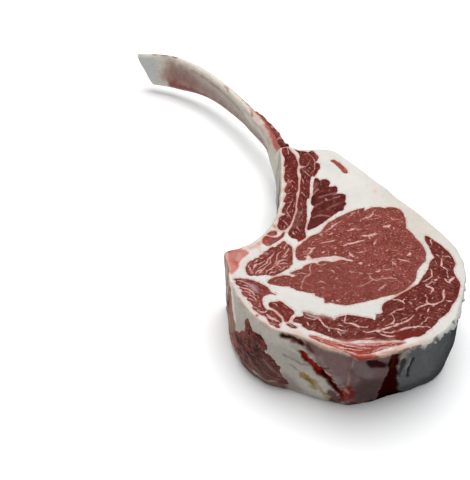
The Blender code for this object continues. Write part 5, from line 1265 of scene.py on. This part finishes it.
tone = np.array((0.43, 0.155, 0.125)) * (1 + 0.14 * cloud(flat, 4, 54))[:, None]
tone = painted(tone, 0, flat, CHINE_BONE_MARKS, 95)[0]
chine_gap = gap_to(chine_path, flat) + 0.3
chine_piece = slice_part("chine_bone_piece", flat, faces, around, tone, chine_gap, bone_finish)
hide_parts("chine_bone")

# The outer lean: a ragged dark patch of the muscle outside the rib cap, cut through on the front left of the
# wall. It bulges a little out of the fat and is wet. Its nearly black bands are dark meat deepened by painted
# shade of its hollows, and its pale flecks are partly fat and partly painted glints.
OUTER_PATCH = [
    (37, 16), (40, 24), (46, 31), (52, 38), (51.5, 46), (53.5, 51.5), (57, 50), (60, 45.5), (64, 46.5),
    (69, 45.5), (72.5, 42), (73, 37), (78, 32), (81, 27), (82.5, 20), (86, 13), (87, 8), (83, 6), (79, 7.6),
    (71, 6), (62, 5), (53, 3), (47, 4), (42, 8),
]
OUTER_MARKS = [
    (0, [(37, 16), (42, 27), (48, 33), (53, 30), (48, 20), (44, 8)], (0.2, 0.022, 0.012), 2.5, 2.5, 0.8, 0),
    (1.8, [(52.6, 48), (54.6, 42), (55, 37)], (0.17, 0.02, 0.012), 1.5, 1.5, 0.8, 0),
    (2.6, [(63, 43), (70, 40), (74, 34)], (0.11, 0.022, 0.015), 2.5, 2, 0.7, 0),
    # nearly black bands: dark meat deepened by painted shade of the patch's hollows
    (2.4, [(46, 24), (54, 26), (59, 24)], (0.034, 0.006, 0.004), 2, 2.6, 0.8, 0),
    (2.2, [(52, 16), (60, 14), (67, 18)], (0.038, 0.008, 0.006), 2, 2.6, 0.75, 0),
    (2.6, [(60, 34), (67, 30), (72, 26)], (0.045, 0.012, 0.009), 2.5, 2.6, 0.75, 0),
    (0, [(70, 28), (79, 30), (87, 10), (80, 7), (66, 8), (62, 16)], (0.09, 0.036, 0.03), 3.5, 3, 0.75, 0),
    (0.5, [(66, 22), (72, 17), (80, 12)], (0.2, 0.12, 0.1), 1.0, 1.6, 0.65, 0),
    (0.5, [(60, 19), (68, 13), (74, 9)], (0.2, 0.12, 0.1), 1.0, 1.6, 0.65, 0),
    (0.5, [(71, 27), (77, 22), (82, 17)], (0.2, 0.12, 0.1), 1.0, 1.6, 0.65, 0),
    (0.6, [(46, 9), (56, 9), (66, 8)], (0.2, 0.12, 0.1), 1.0, 1.6, 0.65, 0),
]


def lifted_wall(places, rise):
    """Points of the wall at these unrolled places, lifted outwards by rise millimetres."""
    at = places[:, 0] / edge_length * columns
    low = np.floor(at).astype(int) % columns
    part = (at - np.floor(at))[:, None]
    here, out = (line[low] * (1 - part) + line[(low + 1) % columns] * part for line in (edge_line, edge_out))
    moved = np.vstack([h + wall_shift(h[None], 1 - z / THICK)[0] for h, z in zip(here, places[:, 1])])
    return np.column_stack([moved + out * (wall_paint(places)[1] + rise)[:, None], places[:, 1]])


outer_ring = spaced(smooth_line(OUTER_PATCH[::-1], True), 0.8, True)
outer_ring = outer_ring + 0.8 * np.stack([cloud(outer_ring, 3.2, k) + 0.5 * cloud(outer_ring, 1.5, k + 2)
                                          for k in (61, 62)], axis=1)
flat, faces, _ = triangles([outer_ring], 0.8, 45)
gap = gap_to(outer_ring, flat)
lump = 0.35 * cloud(flat, 7, 65) + 0.3 * cloud(flat, 2.6, 66) + 0.14 * cloud(flat, 1.3, 67)
front = lifted_wall(flat, -0.25 + 1.0 * (1 - np.exp(-gap / 2.5)) + lump * soft(gap, 0, 2.5))
back = lifted_wall(flat, -4.0)
strokes = [([(60, 34), (61, 31)], 1.3)] + short_strokes(outer_ring, 90, 66, 1.8, 0.5, -25, 60)
fat_at, half, _ = fat_lines(strokes, 67)
# pale flecks: partly fat, partly painted glints of wet shine
outer_finish = lean("outer_lean_finish", (0.195, 0.024, 0.015), (0.032, 0.004, 0.003), seam=(0.44, 0.30, 0.25),
                    flecks=0.75, fleck_size=0.8, streaks=0.12, turn=-20, rough=0.34, mottle=(3.4, 0.10))
outer = piece("outer_lean_flesh", np.vstack([front, back]), slab(faces, len(flat)),
              {"rim_mm": np.tile(gap, 2), "seam_mm": np.tile(seam_gaps(flat, fat_at, half)[0], 2),
               "across_mm": np.tile(flat[:, 1] + 0.3 * flat[:, 0], 2), "along_mm": np.tile(flat[:, 0], 2),
               **tinted(flat, OUTER_MARKS, 68)}, outer_finish)
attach(outer, "root")
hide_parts("outer_lean")

# The rib bone: one long flat rib, scraped clean beyond the meat, with its thin skin left on in grey and brown
# patches, a groove along its inner side and a sawn free end. The grey-brown of its inner side is partly its
# skin and partly painted shade, and the brightness of its upper edge is painted light.
RIB_LINE = [
    (-71, -13), (-62, -6.4), (-54, 3), (-47.4, 16), (-42.4, 32), (-39, 50), (-37.4, 70), (-37.4, 90),
    (-39, 110), (-44.3, 143), (-50, 161), (-60, 181), (-70.4, 202), (-83, 223), (-98, 244.6), (-114.6, 263),
    (-134, 278), (-155, 290), (-190, 302),
]
# Share of the length, width, height and height of the middle.
RIB_SECTIONS = np.array([
    (0.00, 11, 26, 28), (0.12, 12, 30, 28), (0.28, 12, 33, 28), (0.355, 12, 31, 29), (0.4, 11.6, 24, 30),
    (0.45, 11.6, 20, 30.5), (0.53, 12, 20.5, 30.5), (0.62, 12, 22, 30), (0.7, 12, 25, 30), (0.78, 12, 30, 29.5),
    (0.86, 12, 35.4, 28.4), (0.9, 11.8, 35.6, 27.8), (0.962, 11.5, 34.6, 25.4), (1.00, 11, 34, 24.2),
])
RIB_FROM, RINGS, SIDES = 0.20, 330, 72
SAWN_AT, SAWN_SLANT, SAWN_MIDDLE = 0.962, math.radians(27), 28.0
BOXINESS, GROOVE = 0.8, 1.6  # power that squares the section, and depth of the groove on the inner side
rib_path = spaced(smooth_line(RIB_LINE), 1.0)
RIB_LENGTH = np.linalg.norm(np.diff(rib_path, axis=0), axis=1).sum()
rib_heading = np.gradient(rib_path, axis=0)
rib_heading /= np.linalg.norm(rib_heading, axis=1, keepdims=True)


def rib_frame(along):
    """The bone's middle line in plan, its heading and outer side, and its width, height and mid-height."""
    share = np.linspace(0, 1, len(rib_path))
    centre, way = (np.stack([np.interp(along, share, line[:, k]) for k in (0, 1)], axis=-1)
                   for line in (rib_path, rib_heading))
    out = np.stack([way[..., 1], -way[..., 0]], axis=-1)
    return centre, way, out, *(np.interp(along, RIB_SECTIONS[:, 0], RIB_SECTIONS[:, k]) for k in (1, 2, 3))


def rib_at(along, turn, rise=0.0):
    """Points of the bone's surface and their distance across it: along it from 0 to 1, turn round it from its
    outer side over its top."""
    centre, _, out, width, tall, middle = rib_frame(along)
    aside, up = (np.sign(way) * np.abs(way) ** BOXINESS for way in (np.cos(turn), np.sin(turn)))
    groove = np.where(aside < 0, np.exp(-((up / 0.45) ** 2)), 0) * soft(along, 0.40, 0.46)
    across = aside * (width / 2 + rise) + GROOVE * groove
    return np.column_stack([centre + across[:, None] * out, middle + up * (tall / 2 + rise)]), across


def tube(rings, sides):
    """Faces of a tube with both ends closed, by one point after the last ring and the next for the first."""
    def band(r, i):
        j = (i + 1) % sides
        return r * sides + i, r * sides + j, (r + 1) * sides + j, (r + 1) * sides + i

    last = (rings - 1) * sides
    return ([band(r, i) for r in range(rings - 1) for i in range(sides)]
            + [(last + i, last + (i + 1) % sides, last + sides) for i in range(sides)]
            + [((i + 1) % sides, i, last + sides + 1) for i in range(sides)])


sawn_centre, sawn_way = rib_frame(SAWN_AT)[:2]
sawn_centre = np.append(sawn_centre, SAWN_MIDDLE)
sawn_normal = np.append(sawn_way * math.cos(SAWN_SLANT), -math.sin(SAWN_SLANT))
turns = np.arange(SIDES) * 2 * math.pi / SIDES
turns = turns - 0.12 * np.sin(4 * turns)
stop = np.full(SIDES, SAWN_AT)
for _ in range(25):
    stop -= ((rib_at(stop, turns)[0] - sawn_centre) @ sawn_normal) / RIB_LENGTH * 0.9
along = np.concatenate([RIB_FROM + (stop - RIB_FROM) * t for t in np.linspace(0, 1, RINGS)])
turn = np.tile(turns, RINGS)
skin, across = rib_at(along, turn)
# The bone's skin unrolled: distance along it, and round it from the top, minus on the inner side.
round_from_top = (turn - math.pi / 2 + math.pi) % (2 * math.pi) - math.pi
rib_places = np.column_stack([along * RIB_LENGTH, -round_from_top / math.pi * (rib_frame(along)[4] + 9)])
skin_marks = np.column_stack([along * RIB_LENGTH, across, skin[:, 2]])


def rib_spots(marks):
    """Turns marks given as (along, side in mm, height in mm) into places of the unrolled bone."""
    return rib_places[nearest(skin_marks, np.array(marks) * (RIB_LENGTH, 1, 1))[1][:, 0]]


BONE_PATCHES = [
    # grey-brown inner face, partly its skin and partly painted shade, darker along its low edge, and the
    # stretch next to the meat that is cream
    (0, [(0.42, -6, 37), (0.55, -6, 36), (0.7, -6, 38), (0.88, -6, 44), (0.88, -6, 14), (0.7, -6, 20),
         (0.55, -6, 22), (0.42, -6, 24)], (0.27, 0.185, 0.152), 8, 4, 0.85, 0),
    (0, [(0.3, -6, 40), (0.42, -6, 38), (0.45, -6, 30), (0.42, -6, 22), (0.3, -6, 18)], (0.44, 0.4, 0.31), 3, 2,
     0.8, 0),
    (3.0, [(0.46, -6, 31), (0.58, -6, 32), (0.68, -6, 34), (0.78, -6, 36)], (0.4, 0.34, 0.3), 4, 2, 0.7, 0),
    (2.4, [(0.44, -6, 25), (0.56, -6, 23), (0.68, -6, 21), (0.78, -6, 18)], (0.175, 0.075, 0.058), 3.5, 2, 0.85,
     0),
    (2.4, [(0.79, -6, 19), (0.88, -6, 15)], (0.24, 0.06, 0.045), 3, 2.5, 0.85, 0),
    (2.6, [(0.7, -6, 27), (0.8, -6, 27), (0.87, -6, 26)], (0.26, 0.165, 0.14), 4, 2, 0.7, 0),
    (5, [(0.87, -6, 32), (0.8, -6, 27)], (0.215, 0.09, 0.075), 8, 4, 0.75, 0),
    (2.6, [(0.89, -6, 43), (0.885, -6, 32), (0.9, -6, 22)], (0.29, 0.19, 0.16), 8, 5, 0.6, 0),
    # bluish-white towards the sawn end
    (0, [(0.925, -6, 54), (0.915, -6, 38), (0.92, -6, 24), (0.93, -6, 6), (1.0, -6, 6), (1.0, -6, 54)],
     (0.44, 0.45, 0.44), 6, 4, 0.95, 0),
    (2.0, [(0.97, -6, 44), (0.975, -6, 36)], (0.36, 0.37, 0.31), 5, 2, 0.7, 0),
    (2.2, [(0.93, -6, 16), (0.96, -6, 14)], (0.56, 0.56, 0.54), 4, 2, 0.6, 0),
    # bright upper edge, partly the bone's cream and partly painted light on its top, with a soft dark line
    # under it
    (2.8, [(0.36, 0, 45), (0.5, 0, 41), (0.62, 0, 41.5), (0.72, 0, 43), (0.84, 0, 47), (0.96, 0, 50)],
     (0.62, 0.57, 0.51), 3.4, 1.6, 0.92, 0.2),
    (0.6, [(0.8, -5.6, 41.5), (0.728, -5.6, 39.4), (0.689, -5.6, 38.5), (0.646, -5.6, 37), (0.606, -5.6, 35.5),
           (0.561, -5.8, 32)], (0.15, 0.085, 0.065), 1.8, 0.8, 0.75, -0.5),
    (1.6, [(0.44, -5.8, 33), (0.5, -5.8, 34), (0.56, -5.8, 35)], (0.6, 0.56, 0.48), 3, 1.6, 0.8, 0),
    # red bits
    (1.1, [(0.935, -2.0, 48.8), (0.9, -2.2, 48.4), (0.865, -1.2, 48)], (0.13, 0.014, 0.012), 1.2, 1.8, 0.9,
     0.3),
    (0, [(0.892, -6, 30), (0.88, -6, 25), (0.863, -6, 23), (0.875, -6, 18), (0.89, -6, 22), (0.895, -6, 27)],
     (0.25, 0.085, 0.068), 6, 4, 0.6, 0),
    (0, [(0.89, -6, 21), (0.854, -6, 21), (0.827, -6, 20), (0.794, -6, 20), (0.74, -6, 21), (0.7, -6, 19.6),
         (0.8, -5, 13), (0.88, -5, 11)], (0.2, 0.035, 0.025), 2.6, 2.2, 0.85, 0),
    (1.0, [(0.677, -1.5, 42), (0.665, -1.0, 42), (0.655, -2.5, 41.6)], (0.34, 0.14, 0.09), 1.0, 1.6, 0.8, 0.1),
    (1.0, [(0.552, -0.1, 41), (0.538, -2, 41), (0.528, -3, 40.6)], (0.3, 0.12, 0.075), 1.0, 1.4, 0.85, 0.1),
    (0.8, [(0.64, 1.6, 41.2), (0.6, 1.4, 41), (0.56, 1.8, 40.8), (0.53, 2.2, 40.6)], (0.2, 0.05, 0.035), 1.0,
     1.6, 0.85, 0.1),
    (1.6, [(0.56, 1.0, 41), (0.52, -0.8, 41), (0.47, -2.8, 40.6), (0.42, -4.6, 40.4), (0.375, -5.4, 40)],
     (0.5, 0.29, 0.23), 2.4, 1.8, 0.75, 0),
    (0, [(0.545, 1.7, 41), (0.496, -0.7, 41), (0.455, -2.8, 40.5), (0.413, -4.2, 40.5), (0.365, -4.2, 43.5),
         (0.365, 5.6, 40), (0.42, 5.9, 34), (0.48, 5.9, 35), (0.53, 5, 38)], (0.27, 0.04, 0.028), 2.2, 2.2,
     0.92, 0.4),
    (1.6, [(0.53, 3, 40.6), (0.49, 3, 40.6), (0.44, 2.6, 40.8), (0.4, 2.4, 42)], (0.085, 0.009, 0.006), 1.4,
     2.4, 0.85, 0.3),
    (0.8, [(0.47, -2.4, 41), (0.44, -3.4, 40.6), (0.41, -4.0, 40.8)], (0.48, 0.24, 0.17), 1.4, 1.4, 0.8, 0),
    # the outer side, which the picture hides: grey-white with a pinkish groove along it and red lumps
    (2.2, [(0.56, 6, 30), (0.66, 6, 30), (0.76, 6, 31), (0.85, 6, 31)], (0.4, 0.22, 0.18), 2.2, 2.2, 0.8, -0.5),
    (2.4, [(0.86, 6, 36), (0.89, 6, 30), (0.885, 6, 22)], (0.26, 0.045, 0.03), 1.6, 3, 0.85, 0.6),
    (1.8, [(0.4, 6, 27), (0.46, 6, 26), (0.51, 6, 28)], (0.34, 0.11, 0.075), 1.6, 2.6, 0.8, 0.2),
]
CORE_RINGS = [  # share of the sawn face's size, and its colour there
    (0.97, (0.60, 0.58, 0.55)), (0.86, (0.55, 0.40, 0.34)), (0.7, (0.50, 0.24, 0.18)),
    (0.5, (0.46, 0.20, 0.15)), (0.3, (0.48, 0.22, 0.17)), (0.12, (0.46, 0.20, 0.15)),
]
broad = 0.5 * cloud(rib_places * (0.35, 1), 9, 68) + 0.5 * cloud(rib_places * (0.3, 1), 3.5, 69)
tone = np.array((0.50, 0.46, 0.40)) * (1 + 0.12 * broad)[:, None]
relief = (0.45 * cloud(rib_places * (0.22, 1), 7, 71) + 0.22 * cloud(rib_places * (0.2, 1), 2.6, 72)
          + 0.08 * cloud(rib_places, 1.6, 73))
patches = [(half, rib_spots(marks), *rest) for half, marks, *rest in BONE_PATCHES]
tone, relief = painted(tone, relief, rib_places, patches, 110)
skin = rib_at(along, turn, relief * soft(along, 0.34, 0.37))[0]
end = skin[-SIDES:]
end = end - ((end - sawn_centre) @ sawn_normal)[:, None] * sawn_normal
skin[-SIDES:] = end
core = [end.mean(0) + (end - end.mean(0)) * size for size, _ in CORE_RINGS]
points = np.vstack([skin, *core, end.mean(0), skin[:SIDES].mean(0)])
tones = np.vstack([tone] + [np.tile(colour, (SIDES, 1)) for _, colour in CORE_RINGS]
                  + [[(0.46, 0.2, 0.15)], [(0.5, 0.4, 0.3)]])
along_mm, round_mm = np.pad(rib_places, ((0, len(points) - len(skin)), (0, 0))).T
rib_finish, add = shader("rib_bone_finish")
grain = noise(add, 1.3, 3, 0.6, fibre_place(add, "round_mm"), (7, 1, 1))
fine_grain = noise(add, 0.9, 3, 0.6, fibre_place(add, "round_mm"), (7, 1, 1))
tone = shaded(add, 0.65, field(add, "tone", True), grain, (0.66, 0.62, 0.58), (1.3, 1.33, 1.36))
tone = shaded(add, 0.5, tone, noise(add, 2.6, 3, 0.6), (0.80, 0.76, 0.72), (1.2, 1.2, 1.2))
close(add, tone, 0.40, mixed(add, 0.5, fine_grain, noise(add, 1.6, 2)), 0.45, 0.05, 0.2)
rib = piece("rib_bone_piece", points, tube(RINGS + len(CORE_RINGS), SIDES),
            {"tone": tones, "along_mm": along_mm, "round_mm": round_mm}, rib_finish)
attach(rib, "root")
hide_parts("rib_bone")

# The handle lean: shreds of lean left on the bone's upper outer edge where it leaves the slice, thick and dark
# at the meat and running out to a thin pink strip.
LEAN_FROM, LEAN_TO = 0.372, 0.552
STRIP_RINGS, STRIP_SIDES = 130, 40
STRIP_RADIUS, STRIP_IN, STRIP_DOWN = 4.4, 1.6, 2.4  # its middle lies this far inside the bone's upper edge
fade = np.repeat(np.linspace(0, 1, STRIP_RINGS), STRIP_SIDES)
along = LEAN_FROM + (LEAN_TO - LEAN_FROM) * fade
turn = np.tile(np.arange(STRIP_SIDES) * 2 * math.pi / STRIP_SIDES, STRIP_RINGS)
noise_at = np.column_stack([along * RIB_LENGTH * 0.6, np.column_stack([np.cos(turn), np.sin(turn)]) * 3.2])
radius = STRIP_RADIUS * (1 - 0.74 * fade**0.8)
radius *= 1 + 0.16 * cloud(noise_at, 4, 81) + 0.14 * cloud(noise_at, 1.8, 82)
radius *= np.sqrt(soft(fade, -0.002, 0.05) * soft(1 - fade, -0.002, 0.06)) + 0.02
centre, _, out, width, tall, middle = rib_frame(along)
wobble = 0.8 * cloud(along[:, None] * RIB_LENGTH, 9, 83)
aside = width / 2 - STRIP_IN + radius * np.cos(turn) + wobble
rise = tall / 2 - STRIP_DOWN + 1.15 * radius * np.sin(turn)
strip = np.column_stack([centre + aside[:, None] * out, middle + rise])
tone = np.array((0.16, 0.024, 0.016)) * (1 + 0.3 * cloud(noise_at, 3.0, 84))[:, None]
dark_end = soft(0.22 + 0.06 * cloud(noise_at, 3, 85) - fade, 0, 0.1)
tone = toward(tone, (0.085, 0.007, 0.005), dark_end)
pale = soft(cloud(noise_at, 2.6, 86) + 0.6 * fade, 0.35, 0.8)
tone = toward(tone, (0.46, 0.23, 0.18), 0.75 * pale * (1 - dark_end))
strip_finish, add = shader("handle_lean_finish")
fibres = noise(add, 0.8, 3, 0.6, fibre_place(add, "round_mm"), (6, 1, 1))
colour = shaded(add, 0.7, field(add, "tone", True), fibres, (0.55, 0.42, 0.40), (1.5, 1.6, 1.6))
close(add, colour, 0.34, mixed(add, 0.5, fibres, noise(add, 0.9, 3)), 0.5, 0.1, 0.15)
strip_piece = piece("handle_lean_strip",
                    np.vstack([strip, strip[-STRIP_SIDES:].mean(0), strip[:STRIP_SIDES].mean(0)]),
                    tube(STRIP_RINGS, STRIP_SIDES),
                    {"tone": np.vstack([tone, tone[-1:], tone[:1]]),
                     "along_mm": np.append(along, (LEAN_TO, LEAN_FROM)) * RIB_LENGTH,
                     "round_mm": np.append(turn / math.pi * 8, (0, 0))}, strip_finish)
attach(strip_piece, "root")
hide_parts("handle_lean")
